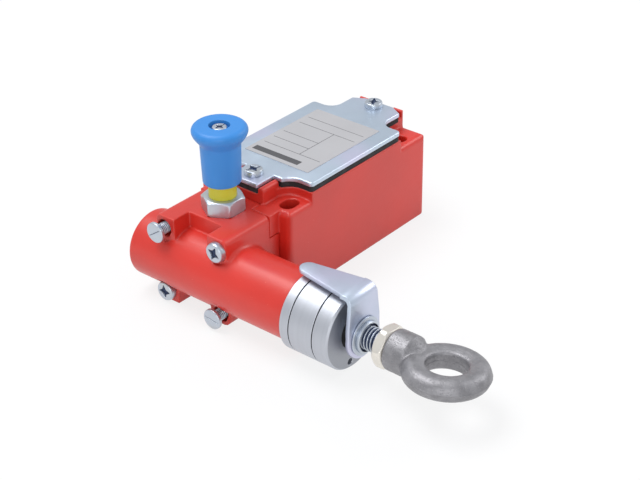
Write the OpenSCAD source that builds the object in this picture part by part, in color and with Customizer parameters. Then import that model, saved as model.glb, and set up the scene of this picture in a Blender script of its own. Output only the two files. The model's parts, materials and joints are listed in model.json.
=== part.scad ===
// Rope pull switch: pulling the rope eye draws a sprung rod out of the barrel along +X.
// A cone on the rod pushes the contact plunger, and the sprung knob on the head resets it.
// Millimetres, +Z up from the back mounting face, +Y from the head to the cable entry.
// The origin is the centre of the four fixing holes, on the back face.

/* [Switch body] */
// Width of the body across its side walls
body_width = 40; // [39:0.5:44]
// Distance from the fixing centre to the end that carries the head
body_head_end = 36; // [35.8:0.1:38]
// Distance from the fixing centre to the cable entry end
body_entry_end = 39.3; // [38.9:0.1:43]
// Height of the four fixing shoulders and of the head
shoulder_height = 32.7; // [32.4:0.1:35]
// Height of the raised centre above the shoulders
wall_rise = 3.1; // [2.4:0.1:4.5]
// Radius of the vertical corners of the body
body_corner_radius = 2; // [1:0.1:3]
// Radius along the upper edges of the fixing shoulders
shoulder_edge_radius = 2.2; // [1:0.1:3]
// Thickness of the long side walls
side_wall = 3; // [2.4:0.1:3.2]
// Thickness of the back wall
floor_thickness = 4; // [3:0.1:4.6]
// Half length of the wiring chamber
chamber_half_length = 22; // [21.6:0.1:22.6]
// Half width of the neck that leads to the cable entry
entry_neck_half = 9.6; // [9.3:0.1:10.4]
// Thickness of the wall that holds the cable entry thread
entry_wall = 10.3; // [9:0.1:11.5]
// Thickness of the wall behind the head
head_wall = 9; // [8:0.1:11]

/* [Fixing shoulders] */
// Distance from the fixing centre to the pockets at the head end
head_pocket_start = 24.2; // [23.4:0.1:24.6]
// Distance from the fixing centre to the pockets at the entry end
entry_pocket_start = 24.6; // [23.6:0.1:25]
// Inner corner radius of each pocket
pocket_radius = 6.3; // [5:0.1:6.6]
// Half width of the raised spine at the head end
head_spine_half = 8.9; // [8.7:0.1:9.6]
// Half width of the raised spine at the entry end
entry_spine_half = 9.7; // [9.7:0.1:10.4]
// Width of each lug beside the cover tongue
lug_width = 2.6; // [2:0.1:2.7]
// Length of each lug
lug_length = 8; // [6:0.1:8.3]
// Height of each lug above the shoulders
lug_rise = 5.8; // [5.2:0.1:7]
// Thickness of the two ears behind the cover
ear_thickness = 1.15; // [1:0.05:1.4]
// Width of each ear
ear_width = 4.3; // [3:0.1:4.6]
// Height of the ears above the shoulders
ear_rise = 6.1; // [5.6:0.1:7]

/* [Fixing holes] */
// Spacing of the fixing holes across the body
fixing_pitch_x = 30; // [29.6:0.1:30.4]
// Spacing of the fixing holes along the body
fixing_pitch_y = 60; // [59.6:0.1:60.4]
// Radius of the round fixing holes and half width of the slotted ones
fixing_radius = 2.65; // [2.2:0.05:2.75]
// Length that the slotted holes have beyond their width
slot_extra = 2; // [1:0.1:2.1]

/* [Cable entry] */
// Radius of the cable entry thread at its crests
entry_radius = 9.25; // [8:0.05:9.5]
// Height of the cable entry centre above the back face
entry_height = 16; // [15:0.1:17]

/* [Cover] */
// Thickness of the cover gasket
gasket_thickness = 2.1; // [1.5:0.1:3]
// Amount that the gasket stands in from the edge of the cover
gasket_inset = 0.25; // [0.1:0.05:0.4]
// Thickness of the sheet cover
cover_thickness = 1.5; // [1:0.1:2.5]
// Half width of the cover tongue between the lugs
cover_tongue_half = 6.15; // [5.6:0.05:6.15]
// Half width of the cover where it passes the entry end pockets
cover_waist_half = 10.8; // [10.2:0.1:11]
// Half width of the cover behind the lugs
cover_shoulder_half = 10; // [9.4:0.1:10.2]
// Radius of the main corners of the cover
cover_corner_radius = 1.6; // [1:0.1:2]
// Distance of the head end cover screw from the fixing centre
cover_screw_head_y = 30.8; // [30.2:0.1:31.6]
// Distance of the entry end cover screw from the fixing centre
cover_screw_entry_y = 34.2; // [33.4:0.1:34.6]
// Radius of the cover screw heads
cover_screw_head_radius = 3.3; // [2.8:0.1:3.5]
// Height of the cover screw heads
cover_screw_head_height = 2; // [1.6:0.1:2.6]
// Radius of the cover screw shanks
cover_screw_radius = 1.75; // [1.4:0.05:2]
// Length of the cover screws under the head
cover_screw_length = 11; // [9:0.1:12]
// Width of the bare label on the cover
label_width = 28.2; // [24:0.1:30]
// Length of the bare label on the cover
label_length = 39; // [34:0.1:42]
// Thickness of the bare label
label_thickness = 0.2; // [0.1:0.05:0.4]

/* [Head] */
// Width of the head
head_width = 31; // [30.4:0.1:32]
// Distance from the fixing centre to the front face of the screw bosses
head_front = 62; // [61.4:0.1:63]
// Distance from the fixing centre to the face behind the front recesses
head_recess_floor = 54.7; // [54.2:0.1:56]
// Distance from the fixing centre to the seam between head and body corners
head_seam = 40.7; // [40.4:0.1:41.4]
// Height of the lower side of the head above the back face
head_lift = 0.3; // [0.2:0.05:0.6]
// Radius of the long edges of the head
head_edge_radius = 2; // [1:0.1:2.4]
// Half width of the recess between the screw bosses
head_recess_half = 7.4; // [6.8:0.1:7.5]
// Height of each screw boss on the front of the head
boss_height = 9.2; // [8.6:0.1:9.6]
// Half width of the part of the head that reaches the body between the corner posts
tongue_half = 7.6; // [7.4:0.1:7.7]
// Height of each corner post of the body
post_height = 8.2; // [7.8:0.1:8.4]
// Side of the square on which the head screws stand
head_screw_pitch = 24; // [23.4:0.1:24.4]
// Height of the centre of the head screw square
head_screw_centre = 16.2; // [16:0.05:16.4]
// Radius of the head screw shanks
head_screw_radius = 2; // [1.7:0.05:2.1]
// Length of the head screws under the head
head_screw_length = 27.8; // [26:0.1:27.8]
// Radius of the screw clearance holes in the head
head_screw_hole_radius = 2.9; // [2.5:0.1:3]
// Radius of the seats cut for the head screws
screw_seat_radius = 4.6; // [4.5:0.1:4.9]
// Radius of the cross recessed head screw heads
cross_head_radius = 4.15; // [3.8:0.05:4.3]
// Height of the cross recessed head screw heads
cross_head_height = 2.4; // [2:0.1:2.8]
// Radius of the slotted head screw heads
slotted_head_radius = 4; // [3.6:0.05:4.3]
// Height of the slotted head screw heads
slotted_head_height = 2; // [1.6:0.1:2.4]
// Length of bare shank that the slotted screws leave in front of the head
slotted_standoff = 2.7; // [2:0.1:3.2]

/* [Barrel] */
// Distance of the barrel axis from the fixing centre, towards the head
barrel_y = 55; // [54.8:0.05:55.4]
// Height of the barrel axis above the back face
barrel_z = 15.2; // [15:0.05:15.4]
// Outer radius of the barrel
barrel_radius = 11.8; // [11.6:0.05:12]
// Inner radius of the barrel
barrel_bore_radius = 8.6; // [8.6:0.05:9]
// Distance from the fixing centre line to the closed end
barrel_closed_end = 25.3; // [25.1:0.1:28]
// Distance from the fixing centre line to the shoulder that stops the cap
barrel_open_end = 43.1; // [42:0.1:44]
// Thickness of the closed end of the barrel
barrel_end_wall = 2.8; // [2:0.1:2.8]
// Edge radius of the closed end
barrel_edge_radius = 1; // [0.4:0.1:1.6]
// Radius of the nose that the cap covers
nose_radius = 10.2; // [9.8:0.05:10.4]
// Length of the nose that the cap covers
nose_length = 10.9; // [9:0.1:12]
// Size of the bevel ring where the barrel leaves the head
barrel_root = 0.9; // [0.4:0.1:1.4]

/* [Barrel cap] */
// Outer radius of the cap
cap_radius = 13.35; // [13:0.05:13.8]
// Length of the cap
cap_length = 19.3; // [19.2:0.1:20]
// Thickness of the end wall of the cap
cap_end_wall = 4.9; // [4.4:0.1:5.4]
// Chamfer at the outer end of the cap
cap_chamfer = 1.2; // [0.6:0.1:1.6]
// Distance from the barrel shoulder to the first groove
groove_one = 3.6; // [2.6:0.1:5]
// Distance from the barrel shoulder to the second groove
groove_two = 13.1; // [11:0.1:15]
// Depth of the two grooves
groove_depth = 0.7; // [0.4:0.05:1]
// Half width of the two grooves
groove_half = 0.55; // [0.4:0.05:0.8]
// Radius of the spanner hole in the end face
spanner_hole_radius = 1.15; // [0.8:0.05:1.3]
// Distance of the spanner hole from the cap axis
spanner_hole_offset = 10.95; // [10.4:0.05:11]
// Depth of the spanner hole
spanner_hole_depth = 2.4; // [1.5:0.1:3]
// Direction of the spanner hole seen from the eye, from the downward line
spanner_hole_turn = 9.9; // [0:0.1:30]

/* [Draw rod] */
// Radius of the draw rod
rod_radius = 4; // [3.8:0.05:4.1]
// Radius of the rod where it carries the cone
rod_tail_radius = 2; // [1.8:0.05:2.1]
// Radius of the shoulder behind the pointer plate
rod_shoulder_radius = 5.2; // [4.8:0.1:6]
// Length of the shoulder behind the pointer plate
rod_shoulder_length = 1.7; // [1.2:0.1:2]
// Gap between the cap and the back of the pointer plate
pointer_gap = 2.7; // [2.3:0.1:3.4]
// Length of rod between the pointer stack and the jam nut
rod_thread_length = 5.6; // [4:0.1:8]
// Depth that the rod enters the eye
rod_engagement = 8; // [6:0.1:8.4]
// Full stroke of the rod
rod_stroke = 16; // [12:0.5:16]
// Plunger travel for each millimetre of rod travel
cone_slope = 0.25; // [0.2:0.01:0.25]
// Radius of the cone under the plunger at rest
cone_rest_radius = 3.6; // [3.4:0.05:3.6]
// Thickness of the flange that the draw spring presses on
spool_flange = 2.5; // [2:0.1:3]
// Radius of the flange that the draw spring presses on
spool_flange_radius = 7.8; // [7.6:0.1:8.2]
// Length of the guide land at the closed end of the cone
spool_land = 2.5; // [2:0.1:2.6]
// Distance from the plunger axis to the spring flange
spool_flange_start = 4; // [3.6:0.1:4.6]
// Distance across the flats of the nut that holds the cone
spool_nut_flats = 7; // [6:0.1:7.5]
// Thickness of the nut that holds the cone
spool_nut_thickness = 2.8; // [2:0.1:2.8]

/* [Draw spring] */
// Mean coil radius of the draw spring
draw_spring_radius = 6.5; // [6:0.1:6.8]
// Wire radius of the draw spring
draw_wire_radius = 0.9; // [0.6:0.05:1]
// Number of coils of the draw spring
draw_spring_turns = 10; // [7:1:13]
// Thickness of the spring seat inside the cap
spring_seat_thickness = 1.5; // [1:0.1:2]
// Width of the wiper ring section
wiper_width = 2; // [1.4:0.1:2.6]
// Depth of the wiper ring seat
wiper_depth = 2; // [1.4:0.1:2.4]

/* [Pointer plate] */
// Sheet thickness of the pointer plate
pointer_thickness = 1.5; // [1.2:0.1:2]
// Radius of the round foot of the pointer plate
pointer_foot_radius = 7.7; // [7.2:0.1:8.2]
// Half width of the leg just above its foot
pointer_foot_half = 7.6; // [6.9:0.1:7.6]
// Half width at the bend
pointer_bend_half = 6.1; // [5.6:0.1:6.8]
// Half width of the arm near its tip
pointer_tip_half = 3; // [2:0.1:3.6]
// Outer radius of the bend
pointer_bend_radius = 3.2; // [2.4:0.1:4]
// Clear height between the cap and the arm
pointer_clearance = 1.45; // [0.8:0.05:2.5]
// Length of the arm from its tip to the face of the leg
pointer_reach = 25.2; // [23:0.1:28]
// Radius of the washer in front of the pointer plate
washer_radius = 6.6; // [6:0.1:7.2]
// Thickness of the washer in front of the pointer plate
washer_thickness = 0.8; // [0.5:0.1:1.2]
// Radius of the round locking collar
collar_radius = 5.4; // [4.9:0.1:6]
// Thickness of the flange of the locking collar
collar_thickness = 0.8; // [0.5:0.1:1.5]
// Radius of the lip of the locking collar
collar_lip_radius = 4.45; // [4.3:0.05:4.7]
// Length of the lip of the locking collar
collar_lip = 0.4; // [0.3:0.1:0.8]

/* [Rope eye] */
// Distance across the flats of the jam nut
jam_nut_flats = 13; // [12:0.1:14]
// Thickness of the jam nut
jam_nut_thickness = 3.8; // [3:0.1:5]
// Angle through which the jam nut is turned on the rod
jam_nut_turn = 22; // [0:1:59]
// Radius of the eye shank
eye_shank_radius = 6.9; // [6.2:0.1:7.2]
// Distance from the jam nut to the centre of the eye
eye_reach = 19.7; // [19.2:0.1:22]
// Radius of the rope hole
eye_hole_radius = 6.5; // [5.5:0.1:6.6]
// Radius of the rounded bar of the eye
eye_bar_radius = 3.7; // [3.5:0.1:3.9]
// Half height of the straight wall inside the eye
eye_land_half = 2.3; // [1.8:0.1:2.5]
// Angle through which the eye is turned about the rod
eye_turn = 6.4; // [-90:0.1:90]
// Distance from the eye centre at which the shank starts to fall to the ring
eye_cone_start = 12.3; // [11.6:0.1:13.4]
// Height of the parting ridge around the eye
eye_ridge = 0.25; // [0.1:0.05:0.4]

/* [Reset knob] */
// Distance of the knob axis from the fixing centre, towards the head
knob_y = 46; // [45.8:0.05:46.2]
// Height of the knob top above the head
knob_top_rise = 30.8; // [29.5:0.1:33]
// Largest radius of the knob
knob_radius = 9.3; // [8.8:0.1:10]
// Edge radius of the knob rim
knob_rim_radius = 2.1; // [1.6:0.1:2.4]
// Depth of the knob head down to the skirt
knob_head_depth = 7.5; // [6.8:0.1:8]
// Radius of the skirt under the knob head
skirt_top_radius = 6.4; // [6.2:0.1:6.8]
// Radius of the skirt at its lower edge
skirt_foot_radius = 6; // [5.9:0.05:6.2]
// Height of the skirt foot above the head
skirt_foot_rise = 10.3; // [9.8:0.1:12]
// Edge radius at the skirt foot
skirt_edge_radius = 0.7; // [0.4:0.1:0.8]
// Radius of the hollow inside the skirt
knob_bore_radius = 5; // [4.9:0.05:5.1]
// Thickness of the knob above the hollow
knob_roof = 6.5; // [6:0.1:7]
// Radius of the recess in the knob top
knob_recess_radius = 3.5; // [3:0.1:4]
// Depth of the recess in the knob top
knob_recess_depth = 2; // [1.8:0.1:2.4]
// Radius of the knob screw head
knob_screw_head_radius = 2.5; // [2:0.1:2.7]
// Height of the knob screw head
knob_screw_head_height = 1.5; // [1.1:0.1:1.7]
// Full stroke of the knob
knob_stroke = 4; // [2:0.5:4]
// Radius of the reset stem
stem_radius = 2; // [1.8:0.05:2.05]
// Radius of the knob screw shank
knob_screw_radius = 1.25; // [1:0.05:1.3]

/* [Reset bush] */
// Distance across the flats of the hexagonal bush
bush_flats = 13; // [12.6:0.1:14]
// Height of the hexagonal bush
bush_height = 5.3; // [4.8:0.1:6]
// Radius of the bush thread in the head
bush_thread_radius = 5; // [4.6:0.05:5.2]
// Depth of the bush thread in the head
bush_thread_depth = 4; // [3:0.1:5]
// Depth of the seat for the sleeve
sleeve_seat = 2; // [1.5:0.1:2.4]
// Outer radius of the yellow sleeve
sleeve_radius = 4.7; // [4.5:0.05:4.7]
// Height of the yellow sleeve above the bush
sleeve_height = 13.5; // [12:0.1:14]
// Thickness of the lip at the top of the sleeve
sleeve_lip = 1.5; // [1:0.1:2]
// Inner radius of the bush and the sleeve
sleeve_bore_radius = 3.4; // [3.3:0.05:3.45]
// Thickness of the collar that the reset spring presses on
stem_collar = 1.5; // [1:0.1:2]
// Height of that collar above the head
stem_collar_rise = 1.3; // [0.8:0.1:1.6]

/* [Contacts] */
// Radius of the plunger rod
plunger_radius = 2.5; // [2.3:0.05:2.55]
// Radius of the plunger guide collar
plunger_collar_radius = 3.5; // [3.3:0.05:3.6]
// Length of the plunger guide collar
plunger_collar_length = 10.4; // [9:0.1:11]
// Radius of the plunger tail
plunger_tail_radius = 1.5; // [1.2:0.05:1.6]
// Thickness of the contact bridge
bridge_thickness = 1.2; // [0.8:0.1:1.4]
// Height of the contact bridge
bridge_height = 4; // [3.6:0.1:5]
// Distance of the bridge back face from the fixing centre, towards the head
bridge_rest = 6; // [5.6:0.1:6.4]
// Half width of the contact block
block_half_width = 13.5; // [13.2:0.1:13.8]
// Half length of the contact block
block_half_length = 16; // [15.8:0.1:16.2]
// Half width of the channel in the contact block
block_channel_half = 8; // [7.8:0.1:8.1]
// Thickness of the contact block base
block_base = 3; // [2.6:0.1:3.4]
// Height of the contact block rails above the chamber floor
block_rail = 16; // [15.6:0.1:16.6]
// Thickness of the wall that guides the plunger tail
block_end_wall = 3; // [2:0.1:3.4]
// Thickness of the fixed contact strip
strip_thickness = 0.8; // [0.6:0.1:1]
// Thickness of the fixed contact blades
blade_thickness = 1.2; // [1:0.1:1.4]
// Distance of the terminal screws from the centre line
terminal_x = 10.75; // [10.6:0.05:10.9]
// Distance of the terminal screws from the fixing centre
terminal_y = 10; // [9.8:0.1:10.4]
// Radius of the terminal screw heads
terminal_head_radius = 2.5; // [2.2:0.1:2.6]
// Radius of the terminal screw shanks
terminal_screw_radius = 1.5; // [1.2:0.05:1.6]
// Wire radius of the small springs
small_wire_radius = 0.35; // [0.25:0.05:0.4]

/* [Clearances] */
// Radial running clearance of rods and plungers
running_clearance = 0.05; // [0.03:0.01:0.09]
// Radial clearance of a screw in its thread
thread_clearance = 0.03; // [0.02:0.01:0.05]
// Gap between the head and the corner posts
joint_clearance = 0.15; // [0.1:0.05:0.25]
// Gap between the cone and the plunger tip and under the stem
cam_clearance = 0.3; // [0.25:0.05:0.4]

/* [Hidden] */
$fn = 64;
e = 1;
wall_top = shoulder_height + wall_rise;
gasket_top = wall_top + gasket_thickness;
cover_top = gasket_top + cover_thickness;
chamber_half_width = body_width / 2 - side_wall;
head_half = head_width / 2;
fixing_x = fixing_pitch_x / 2;
fixing_y = fixing_pitch_y / 2;
head_screw_x = head_screw_pitch / 2;
head_screw_low = head_screw_centre - head_screw_pitch / 2;
head_screw_high = head_screw_centre + head_screw_pitch / 2;
nose_end = barrel_open_end + nose_length;
cap_face = barrel_open_end + cap_length;
cap_inner_face = cap_face - cap_end_wall;
seat_face = cap_inner_face - spring_seat_thickness;
pointer_back = cap_face + pointer_gap;
pointer_front = pointer_back + pointer_thickness;
washer_front = pointer_front + washer_thickness;
collar_front = washer_front + collar_thickness;
lip_front = collar_front + collar_lip;
nut_back = lip_front + rod_thread_length;
nut_front = nut_back + jam_nut_thickness;
eye_x = nut_front + eye_reach;
eye_ring_radius = eye_hole_radius + eye_bar_radius;
eye_outer_radius = eye_ring_radius + eye_bar_radius;
pointer_top = barrel_z + cap_radius + pointer_clearance + pointer_thickness;
spool_flange_end = spool_flange_start + spool_flange;
cone_length = rod_stroke + plunger_radius + 0.5;
cone_large_radius = cone_rest_radius + cone_slope * cone_length;
spool_end = cone_length + spool_land;
// The plunger tip is a half ball kept one cam clearance from the cone
plunger_ball_offset = cone_rest_radius + (plunger_radius + cam_clearance) * sqrt(1 + cone_slope * cone_slope);
plunger_ball_y = plunger_ball_offset - barrel_y;
collar_start_y = -knob_y - stem_radius + 0.1;
stem_tip_z = barrel_z + plunger_collar_radius + cam_clearance;
head_top = shoulder_height;
bush_top = head_top + bush_height;
sleeve_top = bush_top + sleeve_height;
knob_top = head_top + knob_top_rise;
skirt_foot = head_top + skirt_foot_rise;
knob_recess_floor = knob_top - knob_recess_depth;
knob_roof_z = knob_top - knob_roof;
stem_top = knob_roof_z + 2;
stem_collar_z = head_top + stem_collar_rise;
sleeve_lip_z = sleeve_top - sleeve_lip;
stem_collar_radius = sleeve_bore_radius - 0.1;
block_floor = floor_thickness;
block_top = block_floor + block_rail;
strip_top = block_top + strip_thickness;
plunger_travel = rod_stroke * cone_slope;
bridge_front = -bridge_rest + bridge_thickness;
block_wall_face = block_half_length - block_end_wall;
rating_z = cover_top;

red = [0.72, 0.12, 0.1];
blue = [0.16, 0.42, 0.78];
yellow = [0.82, 0.76, 0.16];
zinc = [0.72, 0.75, 0.82];
silver = [0.8, 0.81, 0.82];
dark = [0.13, 0.13, 0.13];
cast = [0.5, 0.49, 0.48];
brass = [0.76, 0.6, 0.3];
cream = [0.85, 0.83, 0.74];
satin = [0.78, 0.78, 0.76];

// ---- shared shapes ----

// A solid cylinder along +X
module rod_x(radius, from_x, to_x) {
    translate([from_x, -barrel_y, barrel_z])
        rotate([0, 90, 0])
            cylinder(r = radius, h = to_x - from_x);
}

// A solid cylinder along +Y
module rod_y(radius, x, z, from_y, to_y) {
    translate([x, from_y, z])
        rotate([-90, 0, 0])
            cylinder(r = radius, h = to_y - from_y);
}

// A solid cylinder along +Z
module rod_z(radius, x, y, from_z, to_z) {
    translate([x, y, from_z])
        cylinder(r = radius, h = to_z - from_z);
}

// A rectangle with round corners, between two corners
module round_box(low, high, radius) {
    span = high - low;
    union() {
        translate([low[0] + radius, low[1]])
            square([span[0] - 2 * radius, span[1]]);
        translate([low[0], low[1] + radius])
            square([span[0], span[1] - 2 * radius]);
        for (cx = [low[0] + radius, high[0] - radius], cy = [low[1] + radius, high[1] - radius])
            translate([cx, cy])
                circle(r = radius);
    }
}

// Copies its child on both sides of the centre plane
module both_sides() {
    children();
    mirror([1, 0, 0])
        children();
}

// A round wire coiled along +Z from zero to the given length
module coil(mean, wire, length, turns) {
    sides = 7;
    steps = 13 * turns;
    rise = (length - 2 * wire) / steps;
    points = [for (i = [0:steps], j = [0:sides - 1])
        let (a = 360 * turns * i / steps, b = 360 * j / sides, r = mean + wire * cos(b))
        [r * cos(a), r * sin(a), wire + rise * i + wire * sin(b)]];
    skin_a = [for (i = [0:steps - 1], j = [0:sides - 1])
        [i * sides + j, (i + 1) * sides + j, i * sides + (j + 1) % sides]];
    skin_b = [for (i = [0:steps - 1], j = [0:sides - 1])
        [i * sides + (j + 1) % sides, (i + 1) * sides + j, (i + 1) * sides + (j + 1) % sides]];
    first = [[for (j = [0:sides - 1]) j]];
    last = [[for (j = [sides - 1:-1:0]) steps * sides + j]];
    polyhedron(points = points, faces = concat(skin_a, skin_b, first, last));
}

// A pan head with its flat side at zero and its top at the given height
module pan_head(radius, height) {
    rotate_extrude()
        polygon([[0, 0], [radius, 0], [radius, height * 0.45], [radius * 0.9, height * 0.8],
            [radius * 0.62, height], [0, height]]);
}

// A straight slot across a screw head
module slot_cut(radius, top, depth, width) {
    translate([-radius - e, -width / 2, top - depth])
        cube([2 * radius + 2 * e, width, depth + e]);
}

// A cross recess in a screw head
module cross_cut(radius, top, depth, width) {
    for (turn = [0, 90])
        rotate([0, 0, turn])
            translate([-radius * 0.6, -width / 2, top - depth])
                cube([radius * 1.2, width, depth + e]);
}

// ---- switch body ----

module body_plan() {
    round_box([-body_width / 2, -body_head_end], [body_width / 2, body_entry_end], body_corner_radius);
}

// One shoulder pocket, drawn for +X and +Y
module pocket_plan(start, spine) {
    edge = body_width / 2 + e;
    far = body_entry_end + 2 * e;
    corner_x = spine + pocket_radius;
    corner_y = start + pocket_radius;
    union() {
        translate([corner_x, start])
            square([edge - corner_x, far - start]);
        translate([spine, corner_y])
            square([edge - spine, far - corner_y]);
        translate([corner_x, corner_y])
            circle(r = pocket_radius);
    }
}

// Takes the sharp edge off a shoulder along Y, drawn for +X
module shoulder_edge_y(from_y, to_y) {
    r = shoulder_edge_radius;
    translate([body_width / 2 - r, from_y, shoulder_height - r])
        difference() {
            cube([r + e, to_y - from_y, r + e]);
            translate([0, -e, 0])
                rotate([-90, 0, 0])
                    cylinder(r = r, h = to_y - from_y + 2 * e);
        }
}

// Takes the sharp edge off a shoulder along X at the +Y end, drawn for +X
module shoulder_edge_x(from_x, end_y) {
    r = shoulder_edge_radius;
    span = body_width / 2 + e - from_x;
    translate([from_x, end_y - r, shoulder_height - r])
        difference() {
            cube([span, r + e, r + e]);
            translate([-e, 0, 0])
                rotate([0, 90, 0])
                    cylinder(r = r, h = span + 2 * e);
        }
}

module corner_post(low_z, high_z) {
    translate([tongue_half + joint_clearance, -head_seam, low_z])
        cube([head_half - tongue_half - joint_clearance, head_seam - body_head_end + e, high_z - low_z]);
}

module lug() {
    centre = head_spine_half - lug_width / 2;
    top = shoulder_height + lug_rise - lug_width / 2;
    translate([centre - lug_width / 2, -body_head_end, shoulder_height - e])
        cube([lug_width, lug_length, top - shoulder_height + e]);
    rod_y(lug_width / 2, centre, top, -body_head_end, lug_length - body_head_end);
}

module ear() {
    translate([entry_spine_half - ear_width, body_entry_end - ear_thickness, shoulder_height - e])
        cube([ear_width, ear_thickness, ear_rise + e]);
}

module slotted_hole(x, y) {
    for (shift = [-slot_extra / 2, slot_extra / 2])
        rod_z(fixing_radius, x, y + shift, -e, shoulder_height + e);
    translate([x - fixing_radius, y - slot_extra / 2, -e])
        cube([2 * fixing_radius, slot_extra, shoulder_height + 2 * e]);
}

module body_solid() {
    linear_extrude(height = shoulder_height)
        body_plan();
    translate([0, 0, shoulder_height - e])
        linear_extrude(height = wall_rise + e)
            difference() {
                body_plan();
                both_sides()
                    pocket_plan(entry_pocket_start, entry_spine_half);
                both_sides()
                    mirror([0, 1])
                        pocket_plan(head_pocket_start, head_spine_half);
            }
    both_sides() {
        corner_post(head_top - post_height, head_top);
        corner_post(0, post_height - head_lift);
        lug();
        ear();
    }
}

module body_hollows() {
    // Wiring chamber and the necks at its two ends
    translate([0, 0, floor_thickness])
        linear_extrude(height = wall_top)
            round_box([-chamber_half_width, -chamber_half_length],
                [chamber_half_width, chamber_half_length], 3);
    translate([-entry_neck_half, 0, floor_thickness])
        cube([2 * entry_neck_half, body_entry_end - entry_wall, shoulder_height - floor_thickness - 4]);
    translate([-6, e - body_head_end + head_wall - e, barrel_z - 6])
        cube([12, body_head_end - head_wall, 12]);
    // Cable entry and plunger passage
    rod_y(entry_radius, 0, entry_height, body_entry_end - entry_wall - e, body_entry_end + e);
    rod_y(plunger_collar_radius + 0.3, 0, barrel_z, -body_head_end - e, head_wall - body_head_end + e);
    // Seat of the seal around the passage
    difference() {
        rod_y(seal_outer + 0.1, 0, barrel_z, -body_head_end - e, seal_depth - body_head_end);
        rod_y(seal_inner - 0.1, 0, barrel_z, -body_head_end - 2 * e, seal_depth - body_head_end + e);
    }
    // Cover screw threads
    rod_z(cover_screw_radius + thread_clearance, 0, -cover_screw_head_y,
        cover_top - cover_screw_length - 0.4, wall_top + e);
    rod_z(cover_screw_radius + thread_clearance, 0, cover_screw_entry_y,
        cover_top - cover_screw_length - 0.4, wall_top + e);
    // Contact block threads in the floor
    for (y = [-block_screw_front, block_screw_rear])
        rod_z(block_screw_radius + thread_clearance, 0, y, floor_thickness - 3, floor_thickness + e);
    both_sides() {
        rod_z(fixing_radius, fixing_x, fixing_y, -e, shoulder_height + e);
        slotted_hole(fixing_x, -fixing_y);
        for (z = [head_screw_low, head_screw_high])
            rod_y(head_screw_radius + thread_clearance, head_screw_x, z, -head_seam - e, screw_end_y + 0.1);
        shoulder_edge_y(entry_pocket_start, body_entry_end + e);
        shoulder_edge_y(-body_head_end - e, -head_pocket_start);
        shoulder_edge_x(entry_spine_half, body_entry_end);
        mirror([0, 1, 0])
            shoulder_edge_x(head_half, body_head_end);
    }
}

seal_inner = 4.6;
seal_outer = 6.4;
seal_depth = 1.4;
block_screw_front = 11;
block_screw_rear = 9;
block_screw_radius = 1.25;
screw_end_y = head_screw_length - head_front;
earth_x = 10.5;
earth_y = 19.2;
earth_boss_radius = 3;
earth_boss_height = 4;
earth_screw_radius = 1.5;

module switch_body() {
    color(red)
        difference() {
            union() {
                difference() {
                    body_solid();
                    body_hollows();
                }
                // Earth boss on the chamber floor
                rod_z(earth_boss_radius, earth_x, earth_y, floor_thickness - e,
                    floor_thickness + earth_boss_height);
            }
            rod_z(earth_screw_radius + thread_clearance, earth_x, earth_y, floor_thickness,
                floor_thickness + earth_boss_height + e);
        }
}

// ---- cover ----

// Outline of the cover, drawn for both sides, set in by the given amount
module cover_plan(inset) {
    half = body_width / 2 - 0.1 - inset;
    head_y = -head_pocket_start + inset;
    entry_y = entry_pocket_start - 0.2 - inset;
    shoulder = cover_shoulder_half - inset;
    waist = cover_waist_half - inset;
    lug_y = lug_length - body_head_end + 0.3 + inset;
    end_y = body_entry_end - ear_thickness - joint_clearance - inset;
    union() {
        round_box([-half, head_y], [half, entry_y], cover_corner_radius);
        translate([-shoulder, lug_y])
            square([2 * shoulder, head_y - lug_y + 3]);
        translate([-cover_tongue_half + inset, -body_head_end + inset])
            square([2 * (cover_tongue_half - inset), body_head_end - 10]);
        translate([-waist, entry_y - 3])
            square([2 * waist, 3 + end_y - entry_y - 3]);
        polygon([[-waist, end_y - 3.1], [waist, end_y - 3.1], [waist - 1.8, end_y - 1.4],
            [5.9 - inset, end_y], [inset - 5.9, end_y], [1.8 - waist, end_y - 1.4]]);
    }
}

module cover_gasket() {
    color(dark)
        translate([0, 0, wall_top])
            linear_extrude(height = gasket_thickness)
                difference() {
                    cover_plan(gasket_inset);
                    round_box([-chamber_half_width + 0.6, -chamber_half_length + 0.6],
                        [chamber_half_width - 0.6, chamber_half_length - 0.6], 2.4);
                    for (y = [-cover_screw_head_y, cover_screw_entry_y])
                        translate([0, y])
                            circle(r = cover_screw_radius + 0.2);
                }
}

module cover_plate() {
    color(zinc)
        translate([0, 0, gasket_top])
            linear_extrude(height = cover_thickness)
                difference() {
                    cover_plan(0);
                    for (y = [-cover_screw_head_y, cover_screw_entry_y])
                        translate([0, y])
                            circle(r = cover_screw_radius + 0.2);
                }
}

module cover_screw(y, turn) {
    r = cover_screw_head_radius;
    h = cover_screw_head_height;
    translate([0, y, cover_top])
        rotate([0, 0, turn])
            difference() {
                union() {
                    pan_head(r, h);
                    translate([0, 0, -cover_screw_length])
                        cylinder(r = cover_screw_radius, h = cover_screw_length + 0.1);
                }
                cross_cut(r, h, h * 0.6, 0.9);
                slot_cut(r, h, h * 0.3, 0.7);
            }
}

module cover_screws() {
    color(silver) {
        cover_screw(-cover_screw_head_y, 35);
        cover_screw(cover_screw_entry_y, -20);
    }
}

module rating_label() {
    color(satin)
        translate([-label_width / 2, -label_length / 2, rating_z])
            cube([label_width, label_length, label_thickness]);
}

// ---- contacts inside the body ----

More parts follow.
